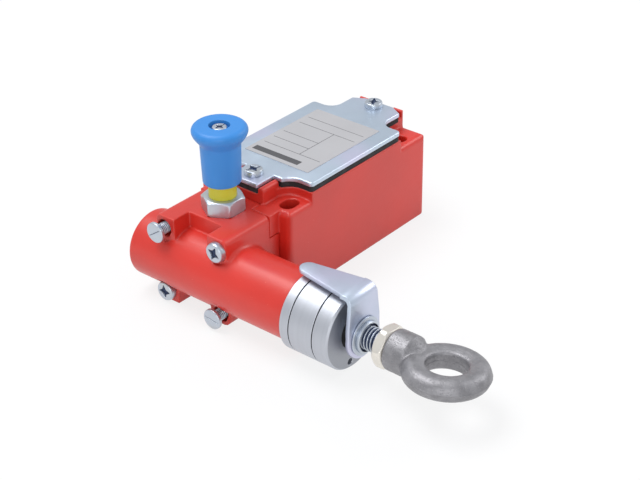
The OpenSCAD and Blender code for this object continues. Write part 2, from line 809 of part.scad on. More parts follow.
module contact_block() {
    rail = block_half_width - block_channel_half;
    color(cream)
        difference() {
            union() {
                translate([-block_half_width, -block_half_length, block_floor])
                    cube([2 * block_half_width, 2 * block_half_length, block_base]);
                both_sides()
                    translate([block_channel_half, -block_half_length, block_floor])
                        cube([rail, 2 * block_half_length, block_rail]);
                translate([-block_channel_half - e, block_wall_face, block_floor])
                    cube([2 * block_channel_half + 2 * e, block_end_wall, block_rail]);
            }
            rod_y(plunger_tail_radius + running_clearance, 0, barrel_z,
                block_wall_face - e, block_half_length + e);
            for (y = [-block_screw_front, block_screw_rear])
                rod_z(block_screw_radius + 0.15, 0, y, block_floor - e, block_floor + block_base + e);
            both_sides()
                for (y = [-terminal_y, terminal_y])
                    rod_z(terminal_screw_radius + thread_clearance, terminal_x, y,
                        block_top - terminal_depth - 0.2, block_top + e);
        }
}

terminal_depth = 6;

module block_screws() {
    color(silver)
        for (y = [-block_screw_front, block_screw_rear])
            translate([0, y, block_floor + block_base])
                difference() {
                    union() {
                        pan_head(2.4, 1.7);
                        translate([0, 0, -block_base - 2.6])
                            cylinder(r = block_screw_radius, h = block_base + 2.7);
                    }
                    cross_cut(2.4, 1.7, 1, 0.6);
                }
}

// One strip with its blade, drawn for +X. The blade face stands at the given distance
module fixed_contact(face, facing, far) {
    inner = block_channel_half - 3;
    outer = terminal_x + 1.9;
    low = min(face, far);
    difference() {
        union() {
            translate([inner, low, block_top])
                cube([outer - inner, abs(far - face), strip_thickness]);
            translate([inner, min(face, face + facing * blade_thickness), barrel_z - bridge_height / 2 - 0.4])
                cube([block_channel_half - inner - 0.1, blade_thickness,
                    strip_top - barrel_z + bridge_height / 2 + 0.4]);
        }
        for (y = [-terminal_y, terminal_y])
            rod_z(terminal_screw_radius + 0.1, terminal_x, y, block_top - e, strip_top + e);
    }
}

module fixed_contacts() {
    open_face = bridge_front + plunger_travel + cam_clearance;
    color(brass)
        both_sides() {
            fixed_contact(-bridge_rest, -1, -terminal_y - 3);
            fixed_contact(open_face, 1, terminal_y + 3);
        }
}

module wire_clamps() {
    color(zinc)
        both_sides()
            for (y = [-terminal_y, terminal_y])
                translate([terminal_x, y, strip_top])
                    difference() {
                        translate([-2.5, -2.8, 0])
                            cube([5, 5.6, clamp_thickness]);
                        translate([0, 0, -e])
                            cylinder(r = terminal_screw_radius + 0.1, h = clamp_thickness + 2 * e);
                    }
}

clamp_thickness = 1;

module terminal_screws() {
    color(silver)
        both_sides()
            for (y = [-terminal_y, terminal_y])
                translate([terminal_x, y, strip_top + clamp_thickness])
                    difference() {
                        union() {
                            pan_head(terminal_head_radius, 2);
                            translate([0, 0, -terminal_depth - strip_thickness - clamp_thickness])
                                cylinder(r = terminal_screw_radius,
                                    h = terminal_depth + strip_thickness + clamp_thickness + 0.1);
                        }
                        cross_cut(terminal_head_radius, 2, 1.1, 0.7);
                    }
}

module earth_screw() {
    base = floor_thickness + earth_boss_height;
    color(brass)
        translate([earth_x, earth_y, base])
            difference() {
                union() {
                    cylinder(r = 2.7, h = 0.8);
                    translate([0, 0, 0.8])
                        pan_head(2.4, 2);
                    translate([0, 0, -earth_boss_height + 0.3])
                        cylinder(r = earth_screw_radius, h = earth_boss_height);
                }
                cross_cut(2.4, 2.8, 1.2, 0.7);
            }
}

// ---- head ----

module head_profile() {
    round_box([-head_half, head_lift], [head_half, head_top], head_edge_radius);
}

// The head section drawn along Y between two distances
module head_block(from_y, to_y) {
    translate([0, to_y, 0])
        rotate([90, 0, 0])
            linear_extrude(height = to_y - from_y)
                children();
}

module head_solid() {
    head_block(-head_recess_floor, -head_seam)
        head_profile();
    // Four screw bosses on the front
    head_block(-head_front, -head_recess_floor + e)
        intersection() {
            head_profile();
            for (side = [-1, 1], z = [head_lift, head_top - boss_height])
                translate([side > 0 ? head_recess_half : -head_half, z])
                    square([head_half - head_recess_half, boss_height]);
        }
    // Cross shaped tongue between the corner posts
    head_block(-head_seam - e, -body_head_end) {
        translate([-tongue_half, head_lift])
            square([2 * tongue_half, head_top - head_lift]);
        translate([-head_half, post_height - head_lift + joint_clearance])
            square([head_width, head_top - 2 * post_height + head_lift - 2 * joint_clearance]);
    }
    // Barrel with a rounded closed end
    rod_x(barrel_radius, barrel_edge_radius - barrel_closed_end, barrel_open_end);
    rod_x(barrel_radius - barrel_edge_radius, -barrel_closed_end, 0);
    translate([barrel_edge_radius - barrel_closed_end, -barrel_y, barrel_z])
        rotate([0, 90, 0])
            rotate_extrude()
                translate([barrel_radius - barrel_edge_radius, 0])
                    circle(r = barrel_edge_radius);
    rod_x(nose_radius, 0, nose_end);
    // Bevel ring on each side of the head
    translate([head_half, -barrel_y, barrel_z])
        rotate([0, 90, 0])
            cylinder(r1 = barrel_radius + barrel_root, r2 = barrel_radius, h = barrel_root);
    translate([-head_half, -barrel_y, barrel_z])
        rotate([0, -90, 0])
            cylinder(r1 = barrel_radius + barrel_root, r2 = barrel_radius, h = barrel_root);
}

module rope_head() {
    color(red)
        difference() {
            head_solid();
            rod_x(barrel_bore_radius, barrel_end_wall - barrel_closed_end, nose_end + e);
            rod_y(plunger_collar_radius + running_clearance, 0, barrel_z, -barrel_y, -body_head_end + e);
            rod_z(stem_radius + running_clearance, 0, -knob_y, barrel_z, head_top + e);
            rod_z(bush_thread_radius + thread_clearance, 0, -knob_y,
                head_top - bush_thread_depth - 0.2, head_top + e);
            for (x = [-head_screw_x, head_screw_x], z = [head_screw_low, head_screw_high]) {
                rod_y(head_screw_hole_radius, x, z, -head_front - e, -head_seam + e);
                rod_y(screw_seat_radius, x, z, -head_front - 10, -head_front);
            }
        }
}

module head_seal() {
    color(dark)
        difference() {
            rod_y(seal_outer, 0, barrel_z, -body_head_end, seal_depth - body_head_end);
            rod_y(seal_inner, 0, barrel_z, -body_head_end - e, seal_depth - body_head_end + e);
        }
}

// Stands its children on the front of the head at one screw
module at_head_screw(x, z, out) {
    translate([x, -head_front - out, z])
        rotate([90, 0, 0])
            children();
}

module head_screws_cross() {
    color(silver)
        for (spot = [[head_screw_x, head_screw_high, 20], [-head_screw_x, head_screw_low, 50]])
            at_head_screw(spot[0], spot[1], 0)
                rotate([0, 0, spot[2]])
                    difference() {
                        union() {
                            pan_head(cross_head_radius, cross_head_height);
                            translate([0, 0, -head_screw_length])
                                cylinder(r = head_screw_radius, h = head_screw_length + 0.1);
                        }
                        cross_cut(cross_head_radius, cross_head_height, cross_head_height * 0.6, 1);
                    }
}

module head_screws_slotted() {
    color(silver)
        for (spot = [[-head_screw_x, head_screw_high, 65], [head_screw_x, head_screw_low, 10]])
            at_head_screw(spot[0], spot[1], slotted_standoff)
                rotate([0, 0, spot[2]])
                    difference() {
                        union() {
                            cylinder(r = slotted_head_radius, h = slotted_head_height);
                            translate([0, 0, -head_screw_length])
                                cylinder(r = head_screw_radius, h = head_screw_length + 0.1);
                        }
                        slot_cut(slotted_head_radius, slotted_head_height, 0.9, 1);
                    }
}

// ---- barrel cap and draw rod ----

module barrel_cap() {
    r = cap_radius;
    color(silver)
        difference() {
            translate([barrel_open_end, -barrel_y, barrel_z])
                rotate([0, 90, 0])
                    rotate_extrude()
                        polygon([[nose_radius + running_clearance, 0],
                            [r - 0.3, 0],
                            [r, 0.3],
                            [r, groove_one - groove_half],
                            [r - groove_depth, groove_one],
                            [r, groove_one + groove_half],
                            [r, groove_two - groove_half],
                            [r - groove_depth, groove_two],
                            [r, groove_two + groove_half],
                            [r, cap_length - cap_chamfer],
                            [r - cap_chamfer, cap_length],
                            [rod_radius + wiper_width, cap_length],
                            [rod_radius + wiper_width, cap_length - wiper_depth],
                            [rod_radius + running_clearance, cap_length - wiper_depth],
                            [rod_radius + running_clearance, cap_length - cap_end_wall],
                            [barrel_bore_radius, cap_length - cap_end_wall],
                            [barrel_bore_radius, nose_length],
                            [nose_radius + running_clearance, nose_length]]);
            translate([cap_face - spanner_hole_depth, -barrel_y, barrel_z])
                rotate([-spanner_hole_turn, 0, 0])
                    translate([0, 0, -spanner_hole_offset])
                        rotate([0, 90, 0])
                            cylinder(r = spanner_hole_radius, h = spanner_hole_depth + e);
        }
}

module rod_wiper() {
    color(dark)
        difference() {
            rod_x(rod_radius + wiper_width - 0.02, cap_face - wiper_depth, cap_face - 0.2);
            rod_x(rod_radius + running_clearance, cap_face - wiper_depth - e, cap_face + e);
        }
}

module spring_seat() {
    color(zinc)
        difference() {
            rod_x(barrel_bore_radius - 0.2, seat_face, cap_inner_face);
            rod_x(rod_radius + 0.3, seat_face - e, cap_inner_face + e);
        }
}

module draw_spring() {
    color(silver)
        translate([spool_flange_end, -barrel_y, barrel_z])
            rotate([0, 90, 0])
                coil(draw_spring_radius, draw_wire_radius, seat_face - spool_flange_end, draw_spring_turns);
}

module draw_rod() {
    color(zinc)
        union() {
            rod_x(rod_tail_radius, 0.3 - spool_end, spool_flange_end + 0.1);
            rod_x(rod_radius, spool_flange_end, nut_front + rod_engagement);
            rod_x(rod_shoulder_radius, pointer_back - rod_shoulder_length, pointer_back);
        }
}

module cam_spool() {
    nut_seat = spool_nut_thickness + 0.4;
    color(cream)
        difference() {
            translate([0, -barrel_y, barrel_z])
                rotate([0, 90, 0])
                    rotate_extrude()
                        polygon([[rod_tail_radius + thread_clearance, nut_seat - spool_end],
                            [spool_nut_flats / 2 * 1.3, nut_seat - spool_end],
                            [spool_nut_flats / 2 * 1.3, -spool_end],
                            [barrel_bore_radius - running_clearance, -spool_end],
                            [barrel_bore_radius - running_clearance, -cone_length],
                            [cone_large_radius, -cone_length],
                            [cone_rest_radius - cone_slope * (plunger_radius + 0.3), plunger_radius + 0.3],
                            [cone_rest_radius, spool_flange_start],
                            [spool_flange_radius, spool_flange_start],
                            [spool_flange_radius, spool_flange_end],
                            [rod_tail_radius + thread_clearance, spool_flange_end]]);
        }
}

module spool_nut() {
    nut_seat = spool_nut_thickness + 0.4;
    color(silver)
        translate([nut_seat - spool_end - spool_nut_thickness, -barrel_y, barrel_z])
            rotate([0, 90, 0])
                difference() {
                    cylinder(r = spool_nut_flats / 2 / cos(30), h = spool_nut_thickness, $fn = 6);
                    translate([0, 0, -e])
                        cylinder(r = rod_tail_radius + thread_clearance, h = spool_nut_thickness + 2 * e);
                }
}

// Side view of the bent sheet in X and Z, made from the outer corner inward
module pointer_bend_profile(reach, drop) {
    t = pointer_thickness;
    r = pointer_bend_radius;
    difference() {
        union() {
            translate([-reach, -t])
                square([reach - r, t]);
            translate([-t, -drop])
                square([t, drop - r]);
            translate([-r, -r])
                intersection() {
                    difference() {
                        circle(r = r);
                        circle(r = r - t);
                    }
                    square([r + e, r + e]);
                }
        }
    }
}

module pointer_plate() {
    drop = pointer_top - barrel_z + pointer_foot_radius + e;
    arm_tip = pointer_front - pointer_reach;
    color(zinc)
        difference() {
            intersection() {
                translate([pointer_front, e * 20 - barrel_y, pointer_top])
                    rotate([90, 0, 0])
                        linear_extrude(height = e * 40)
                            pointer_bend_profile(pointer_reach, drop);
                union() {
                    // Leg outline
                    translate([pointer_back - pointer_bend_radius, -barrel_y, barrel_z])
                        rotate([90, 0, 90])
                            linear_extrude(height = pointer_thickness + pointer_bend_radius + e) {
                                circle(r = pointer_foot_radius);
                                polygon([[-pointer_foot_half, 1.2],
                                    [pointer_foot_half, 1.2],
                                    [pointer_foot_half, 4.8],
                                    [pointer_bend_half, pointer_top - barrel_z + e],
                                    [-pointer_bend_half, pointer_top - barrel_z + e],
                                    [-pointer_foot_half, 4.8]]);
                            }
                    // Arm outline
                    translate([0, -barrel_y, pointer_top - pointer_thickness - e])
                        linear_extrude(height = pointer_thickness + 2 * e) {
                            polygon([[arm_tip + pointer_tip_half, -pointer_tip_half],
                                [pointer_front - pointer_bend_radius, -pointer_bend_half],
                                [pointer_front - pointer_bend_radius, pointer_bend_half],
                                [arm_tip + pointer_tip_half, pointer_tip_half]]);
                            translate([arm_tip + pointer_tip_half, 0])
                                circle(r = pointer_tip_half);
                        }
                }
            }
            rod_x(rod_radius + 0.1, pointer_back - e, pointer_front + e);
        }
}

module pointer_washer() {
    color(silver)
        difference() {
            rod_x(washer_radius, pointer_front, washer_front);
            rod_x(rod_radius + 0.1, pointer_front - e, washer_front + e);
        }
}

module lock_collar() {
    color(silver)
        difference() {
            union() {
                rod_x(collar_radius, washer_front, collar_front);
                rod_x(collar_lip_radius, washer_front, lip_front);
            }
            rod_x(rod_radius + thread_clearance, washer_front - e, lip_front + e);
        }
}

module jam_nut() {
    corner = jam_nut_flats / 2 / cos(30);
    bevel = corner - jam_nut_flats / 2 + 0.1;
    color(silver)
        difference() {
            translate([nut_back, -barrel_y, barrel_z])
                rotate([0, 90, 0])
                    intersection() {
                        rotate([0, 0, jam_nut_turn])
                            cylinder(r = corner, h = jam_nut_thickness, $fn = 6);
                        rotate_extrude()
                            polygon([[0, 0],
                                [corner - bevel, 0],
                                [corner + 0.1, bevel * 0.55],
                                [corner + 0.1, jam_nut_thickness - bevel * 0.55],
                                [corner - bevel, jam_nut_thickness],
                                [0, jam_nut_thickness]]);
                    }
            rod_x(rod_radius + thread_clearance, nut_back - e, nut_front + e);
        }
}

// ---- rope eye ----

module rope_eye() {
    ring = eye_ring_radius;
    bar = eye_bar_radius;
    color(cast)
        difference() {
            translate([eye_x, -barrel_y, barrel_z])
                rotate([-eye_turn, 0, 0])
                    union() {
                        rotate_extrude() {
                            translate([ring, 0])
                                circle(r = bar);
                            polygon([[eye_hole_radius, -eye_land_half],
                                [eye_hole_radius + 0.5, -eye_land_half - 0.7],
                                [eye_hole_radius + 1.6, -eye_land_half - 1.05],
                                [ring - 0.6, -bar + 0.2],
                                [ring - 0.6, bar - 0.2],
                                [eye_hole_radius + 1.6, eye_land_half + 1.05],
                                [eye_hole_radius + 0.5, eye_land_half + 0.7],
                                [eye_hole_radius, eye_land_half]]);
                            polygon([[eye_outer_radius - 0.6, -0.6],
                                [eye_outer_radius + eye_ridge, -0.15],
                                [eye_outer_radius + eye_ridge, 0.15],
                                [eye_outer_radius - 0.6, 0.6]]);
                        }
                        // Shank that falls to the ring along a cone
                        translate([-eye_reach, 0, 0])
                            rotate([0, 90, 0])
                                rotate_extrude()
                                    polygon([[0, 0],
                                        [eye_shank_radius - 0.6, 0],
                                        [eye_shank_radius, 0.6],
                                        [eye_shank_radius, eye_reach - eye_cone_start],
                                        [bar - 0.3, eye_reach - ring + 1.4],
                                        [0, eye_reach - ring + 1.4]]);
                    }
            rod_x(rod_radius + thread_clearance, nut_front - e, nut_front + rod_engagement + 0.3);
        }
}

// ---- plunger ----

module switch_plunger() {
    collar_end = collar_start_y + plunger_collar_length;
    color(cream)
        union() {
            translate([0, plunger_ball_y, barrel_z])
                sphere(r = plunger_radius);
            rod_y(plunger_radius, 0, barrel_z, plunger_ball_y, -bridge_rest);
            rod_y(plunger_collar_radius, 0, barrel_z, collar_start_y, collar_end);
            rod_y(plunger_tail_radius, 0, barrel_z, -bridge_rest - e, block_half_length - 1.5);
        }
}

module contact_bridge() {
    half = block_channel_half - 0.4;
    color(brass)
        difference() {
            translate([-half, -bridge_rest, barrel_z - bridge_height / 2])
                cube([2 * half, bridge_thickness, bridge_height]);
            rod_y(plunger_tail_radius + thread_clearance, 0, barrel_z, -bridge_rest - e, bridge_front + e);
        }
}

module plunger_spring() {
    color(silver)
        translate([0, bridge_front, barrel_z])
            rotate([-90, 0, 0])
                coil(2.5, small_wire_radius, block_wall_face - bridge_front, 7);
}

// ---- reset knob ----

module reset_bush() {
    corner = bush_flats / 2 / cos(30);
    color(silver)
        translate([0, -knob_y, head_top])
            difference() {
                union() {
                    intersection() {
                        rotate([0, 0, 90])
                            cylinder(r = corner, h = bush_height, $fn = 6);
                        rotate_extrude()
                            polygon([[0, 0],
                                [corner - 0.3, 0],
                                [corner + 0.1, 0.3],
                                [corner + 0.1, bush_height - 1.1],
                                [corner - 1.8, bush_height],
                                [0, bush_height]]);
                    }
                    translate([0, 0, -bush_thread_depth])
                        cylinder(r = bush_thread_radius, h = bush_thread_depth + 0.5);
                }
                translate([0, 0, -bush_thread_depth - e])
                    cylinder(r = sleeve_bore_radius, h = bush_thread_depth + bush_height + 2 * e);
                translate([0, 0, bush_height - sleeve_seat])
                    cylinder(r = sleeve_bore_radius + 0.6, h = sleeve_seat + e);
            }
}

module indicator_sleeve() {
    color(yellow)
        difference() {
            union() {
                rod_z(sleeve_radius, 0, -knob_y, bush_top, sleeve_top);
                rod_z(sleeve_bore_radius + 0.57, 0, -knob_y, bush_top - sleeve_seat, bush_top + 0.5);
            }
            rod_z(sleeve_bore_radius, 0, -knob_y, bush_top - sleeve_seat - e, sleeve_lip_z);
            rod_z(stem_radius + running_clearance, 0, -knob_y, sleeve_lip_z - e, sleeve_top + e);
        }
}

module reset_knob() {
    rim = knob_radius - knob_rim_radius;
    head_foot = knob_top - knob_head_depth;
    roof = knob_roof_z;
    color(blue)
        difference() {
            translate([0, -knob_y, 0])
                rotate_extrude() {
                    // Head with a round rim
                    translate([rim, knob_top - knob_rim_radius])
                        circle(r = knob_rim_radius);
                    polygon([[0, roof],
                        [skirt_top_radius - 0.6, roof],
                        [skirt_top_radius, head_foot],
                        [skirt_top_radius + 1.1, head_foot + 1.7],
                        [knob_radius - 0.6, knob_top - knob_rim_radius - 1.9],
                        [knob_radius - 0.15, knob_top - knob_rim_radius - 0.8],
                        [rim, knob_top - knob_rim_radius],
                        [rim, knob_top],
                        [0, knob_top]]);
                    // Skirt with a round foot
                    polygon([[knob_bore_radius, skirt_foot],
                        [skirt_foot_radius - skirt_edge_radius, skirt_foot],
                        [skirt_foot_radius, skirt_foot + skirt_edge_radius],
                        [skirt_top_radius, head_foot],
                        [skirt_top_radius, roof + 0.5],
                        [knob_bore_radius, roof + 0.5]]);
                    translate([skirt_foot_radius - skirt_edge_radius, skirt_foot + skirt_edge_radius])
                        circle(r = skirt_edge_radius);
                }
            rod_z(knob_bore_radius, 0, -knob_y, skirt_foot - e, roof);
            rod_z(stem_radius + thread_clearance, 0, -knob_y, roof - e, stem_top);
            rod_z(knob_screw_radius + 0.1, 0, -knob_y, stem_top - e, knob_top + e);
            rod_z(knob_recess_radius, 0, -knob_y, knob_recess_floor, knob_top + e);
        }
}

module knob_screw() {
    r = knob_screw_head_radius;
    h = knob_screw_head_height;
    color(silver)
        translate([0, -knob_y, knob_recess_floor])
            rotate([0, 0, 40])
                difference() {
                    union() {
                        pan_head(r, h);
                        translate([0, 0, -knob_screw_reach])
                            cylinder(r = knob_screw_radius, h = knob_screw_reach + 0.1);
                    }
                    cross_cut(r, h, h * 0.6, 0.7);
                    slot_cut(r, h, h * 0.3, 0.6);
                }
}

knob_screw_reach = 7;

module reset_stem() {
    color(zinc)
        difference() {
            union() {
                rod_z(stem_radius, 0, -knob_y, stem_tip_z, stem_top);
                rod_z(stem_collar_radius, 0, -knob_y, stem_collar_z, stem_collar_z + stem_collar);
            }
            rod_z(knob_screw_radius + thread_clearance, 0, -knob_y,
                knob_recess_floor - knob_screw_reach - 0.3, stem_top + e);
        }
}

module reset_spring() {
    low = stem_collar_z + stem_collar;
    color(silver)
        translate([0, -knob_y, low])
            coil((stem_radius + sleeve_bore_radius) / 2, small_wire_radius, sleeve_lip_z - low, 8);
}

// ---- assembly ----

switch_body();
cover_gasket();
cover_plate();
cover_screws();
rating_label();
contact_block();
block_screws();
fixed_contacts();
wire_clamps();
terminal_screws();
earth_screw();
head_seal();
rope_head();
head_screws_cross();
head_screws_slotted();
barrel_cap();
rod_wiper();
spring_seat();
draw_spring();
draw_rod();
cam_spool();
spool_nut();
pointer_plate();
pointer_washer();
lock_collar();
jam_nut();
rope_eye();
switch_plunger();
contact_bridge();
plunger_spring();
reset_bush();
indicator_sleeve();
reset_knob();
knob_screw();
reset_stem();
reset_spring();
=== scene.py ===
"""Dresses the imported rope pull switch: enamelled castings, turned cap, cast rope eye and the rest."""

import json
import math

import bmesh
import bpy
import numpy as np
from bpy.props import FloatProperty, FloatVectorProperty, IntProperty, PointerProperty
from mathutils import Matrix, Vector, noise


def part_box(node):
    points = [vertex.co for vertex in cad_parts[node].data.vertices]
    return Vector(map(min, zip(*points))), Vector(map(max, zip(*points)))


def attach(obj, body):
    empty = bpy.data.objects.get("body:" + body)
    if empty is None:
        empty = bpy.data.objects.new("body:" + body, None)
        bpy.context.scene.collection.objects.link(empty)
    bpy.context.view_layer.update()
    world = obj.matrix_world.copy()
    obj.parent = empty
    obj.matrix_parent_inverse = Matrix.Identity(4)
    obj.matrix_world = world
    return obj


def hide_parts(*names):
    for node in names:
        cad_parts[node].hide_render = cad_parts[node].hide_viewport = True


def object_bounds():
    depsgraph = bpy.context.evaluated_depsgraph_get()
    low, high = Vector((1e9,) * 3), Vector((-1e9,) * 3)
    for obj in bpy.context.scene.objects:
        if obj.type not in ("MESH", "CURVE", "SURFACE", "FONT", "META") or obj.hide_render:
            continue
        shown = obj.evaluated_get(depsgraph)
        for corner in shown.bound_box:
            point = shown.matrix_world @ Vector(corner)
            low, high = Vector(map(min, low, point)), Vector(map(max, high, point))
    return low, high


bl_info = {
    "name": "Rope Pull Switch Finish",
    "version": (1, 0, 0),
    "blender": (4, 5, 0),
    "location": "View3D > Sidebar > Rope Switch",
    "description": "Builds the visible pieces, finishes and studio of the rope pull switch",
    "category": "Object",
}

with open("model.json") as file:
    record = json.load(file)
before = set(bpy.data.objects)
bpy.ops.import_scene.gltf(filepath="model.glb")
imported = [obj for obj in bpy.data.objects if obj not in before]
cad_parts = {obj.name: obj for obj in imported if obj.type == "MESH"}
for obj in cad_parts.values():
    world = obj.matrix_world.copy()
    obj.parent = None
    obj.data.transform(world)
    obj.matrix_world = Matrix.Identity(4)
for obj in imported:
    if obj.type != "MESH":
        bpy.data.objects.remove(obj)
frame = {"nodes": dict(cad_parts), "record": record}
CAD_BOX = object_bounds()
MM = 0.001
TOUCH = 1e-5  # a vertex this near a plane lies on it
WELD = 1e-6  # vertices this near each other are one
WHITE = (1.0, 1.0, 1.0, 1.0)


def mount(name):
    """One of the places that the record gives for other parts to hold on to."""
    return next(m for m in frame["record"]["mounts"] if m["name"] == name)


# The barrel axis and the knob axis, read from the solids that are round about them
_cap_low, _cap_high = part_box("barrel_cap")
_knob_low, _knob_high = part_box("reset_knob")
BARREL_AXIS = Vector((0.0, (_cap_low.y + _cap_high.y) / 2, (_cap_low.z + _cap_high.z) / 2))
KNOB_AXIS = Vector(((_knob_low.x + _knob_high.x) / 2, (_knob_low.y + _knob_high.y) / 2, 0.0))
EYE_CENTRE = Vector(mount("rope_eye_hole")["pos_m"])
EYE_AXIS = Vector(mount("rope_eye_hole")["axis"]).normalized()


# ---- sizes and colours that a user may change ----


def colour(label, text, value):
    return FloatVectorProperty(name=label, description=text, default=value, size=3,
                               min=0.0, max=1.0, subtype="COLOR")


def length(label, text, value):
    return FloatProperty(name=label, description=text, default=value, min=0.0,
                         subtype="DISTANCE", unit="LENGTH")


def count(label, text, value):
    return IntProperty(name=label, description=text, default=value, min=0, max=40)


def turn(label, text, degrees):
    return FloatProperty(name=label, description=text, default=math.radians(degrees),
                         subtype="ANGLE", unit="ROTATION")


def power(label, text, value):
    return FloatProperty(name=label, description=text, default=value, min=0.0, unit="POWER")


class SwitchColours(bpy.types.PropertyGroup):
    """Colours of the finishes."""

    enamel: colour("Enamel", "Red enamel of the body and head", (0.58, 0.024, 0.014))
    # Pale enamel for the dust specks, and along the edges worn thin enamel together with a painted
    # highlight
    enamel_pale_wear_and_highlight: colour("Enamel edge", "Thin enamel along the sharp edges", (0.80, 0.22, 0.16))
    knob: colour("Knob", "Blue plastic of the reset knob", (0.032, 0.218, 0.59))
    sleeve: colour("Sleeve", "Yellow plastic of the sleeve", (0.57, 0.52, 0.03))
    rubber: colour("Rubber", "Gasket and seal rubber", (0.012, 0.012, 0.013))
    zinc: colour("Zinc sheet", "Bluish plated sheet of cover and pointer", (0.56, 0.65, 0.755))
    zinc_tint: colour("Zinc tint", "Violet tint in the plating of the sheet", (0.72, 0.65, 0.86))
    steel: colour("Plated steel", "Plated screws, nut and washers", (0.54, 0.59, 0.66))
    nut: colour("Nut plating", "Warm plating of the jam nut", (0.90, 0.84, 0.74))
    # Painted shade: this dark blue is painted into the recesses and thread valleys of plated pieces
    recess: colour("Recess", "Dark blue in the recesses of plated pieces", (0.015, 0.035, 0.11))
    alloy: colour("Turned alloy", "Turned cap of the barrel", (0.54, 0.56, 0.61))
    casting: colour("Iron casting", "Grey blasted iron of the eye", (0.285, 0.28, 0.295))
    foil: colour("Foil", "Bare satin foil of the rating plate", (0.47, 0.465, 0.48))
    ink: colour("Ink", "Dark ruled lines on the foil", (0.02, 0.02, 0.025))
    moulding: colour("Moulding", "Insulating plastic inside the body", (0.68, 0.64, 0.50))
    brass: colour("Brass", "Contact strips", (0.72, 0.50, 0.20))


class SwitchSizes(bpy.types.PropertyGroup):
    """Sizes of the fine detail that the solids leave out."""

    cast_step: length("Casting step", "Size of the faces on the castings", 0.00031)
    cast_rounds: count("Casting rounds", "Smoothing passes on the castings", 3)
    eye_step: length("Eye step", "Size of the faces on the rope eye", 0.00030)
    eye_rounds: count("Eye rounds", "Smoothing passes on the rope eye", 10)
    eye_grit: length("Eye grit", "Height of the cast roughness of the eye", 0.00006)
    rod_pitch: length("Rod pitch", "Pitch of the draw rod thread", 0.00125)
    rod_depth: length("Rod depth", "Depth of the draw rod thread", 0.00075)
    nut_flats: length("Nut flats", "Jam nut across its flats", 0.0130)
    nut_trim: length("Nut corners", "Largest radius of the jam nut", 0.0072)
    bush_flats: length("Bush flats", "Reset bush across its flats", 0.0130)
    screw_pitch: length("Screw pitch", "Pitch of the screw threads", 0.0007)
    screw_depth: length("Screw depth", "Depth of the screw threads", 0.0003)
    entry_pitch: length("Entry pitch", "Pitch of the cable entry thread", 0.0015)
    entry_depth: length("Entry depth", "Depth of the cable entry thread", 0.0006)
    cover_edge: length("Cover edge", "Radius along the upper edge of the cover", 0.0005)
    cover_head: length("Cover head end", "From the end of the tongue to the wide part", 0.0117)
    cover_shoulder: length("Cover shoulder", "From the end of the tongue to the shoulders", 0.0083)
    cover_tongue: length("Cover tongue", "Half width of the tongue", 0.00615)
    cover_spine: length("Cover spine", "Half width where the head end hollows end", 0.0090)
    head_hollow: length("Head end hollow", "Radius of the hollows at the head end", 0.0062)
    cover_entry: length("Cover entry end", "From the far edge to the wide part", 0.0136)
    cover_waist: length("Cover waist", "Half width of the far end of the cover", 0.0108)
    entry_hollow: length("Entry end hollow", "Radius of the hollows at the far end", 0.0044)
    cover_chamfer: length("Cover chamfer", "Cut corners at the far end, along the edge", 0.0048)
    cross_head: length("Cross head", "Radius of the heads of the cross screws", 0.0035)
    cross_height: length("Cross height", "Height of the heads of the cross screws", 0.0022)
    slotted_head: length("Slotted head", "Radius of the heads of the slotted screws", 0.0036)
    slotted_height: length("Slotted height", "Height of the heads of the slotted screws", 0.0012)
    pointer_edge: length("Pointer edge", "Radius along the edges of the pointer", 0.00022)
    groove_width: length("Groove width", "Width of the two grooves in the cap", 0.00034)
    knob_rim: length("Knob rim", "Radius of the rim of the knob", 0.0019)
    knob_neck: length("Knob neck", "Radius of the skirt under the head of the knob", 0.0068)
    knob_foot: length("Knob foot", "Radius of the skirt at its foot", 0.0064)
    knob_head: length("Knob head", "Height of the head of the knob", 0.0064)
    knob_bore: length("Knob bore", "Radius of the bore in the skirt", 0.0050)
    knob_roof: length("Knob roof", "Depth from the top of the knob to the end of its bore", 0.0065)
    knob_recess: length("Knob recess", "Radius of the recess for the knob screw", 0.0035)
    knob_recess_depth: length("Recess depth", "Depth of the recess for the knob screw", 0.0020)


class SwitchStudio(bpy.types.PropertyGroup):
    """Camera and lamps."""

    lens: FloatProperty(name="Lens", description="Focal length of the camera in millimetres",
                        default=88.14, min=10.0)
    azimuth: turn("Azimuth", "Direction of the camera around the switch", 39.483)
    elevation: turn("Elevation", "Height of the camera above the floor", 31.008)
    roll: turn("Roll", "Turn of the camera about its own axis", -0.467)
    distance: length("Distance", "Distance from the camera to the origin along its axis", 0.56492)
    side: FloatProperty(name="Side", description="Place of the camera to its right", default=0.008396,
                        subtype="DISTANCE", unit="LENGTH")
    lift: FloatProperty(name="Lift", description="Place of the camera upward", default=-0.001655,
                        subtype="DISTANCE", unit="LENGTH")
    shift_x: FloatProperty(name="Shift X", description="Sideways shift of the frame", default=-0.0277)
    shift_y: FloatProperty(name="Shift Y", description="Upward shift of the frame", default=0.0031)
    key_power: power("Key lamp", "Power of the large overhead lamp", 4.3)
    fill_power: power("Fill lamp", "Power of the side lamp", 2.0)
    rim_power: power("Rim lamp", "Power of the lamp behind", 1.5)
    sky: FloatProperty(name="Sky", description="Strength of the plain surroundings",
                       default=0.66, min=0.0)


# ---- shader maths ----


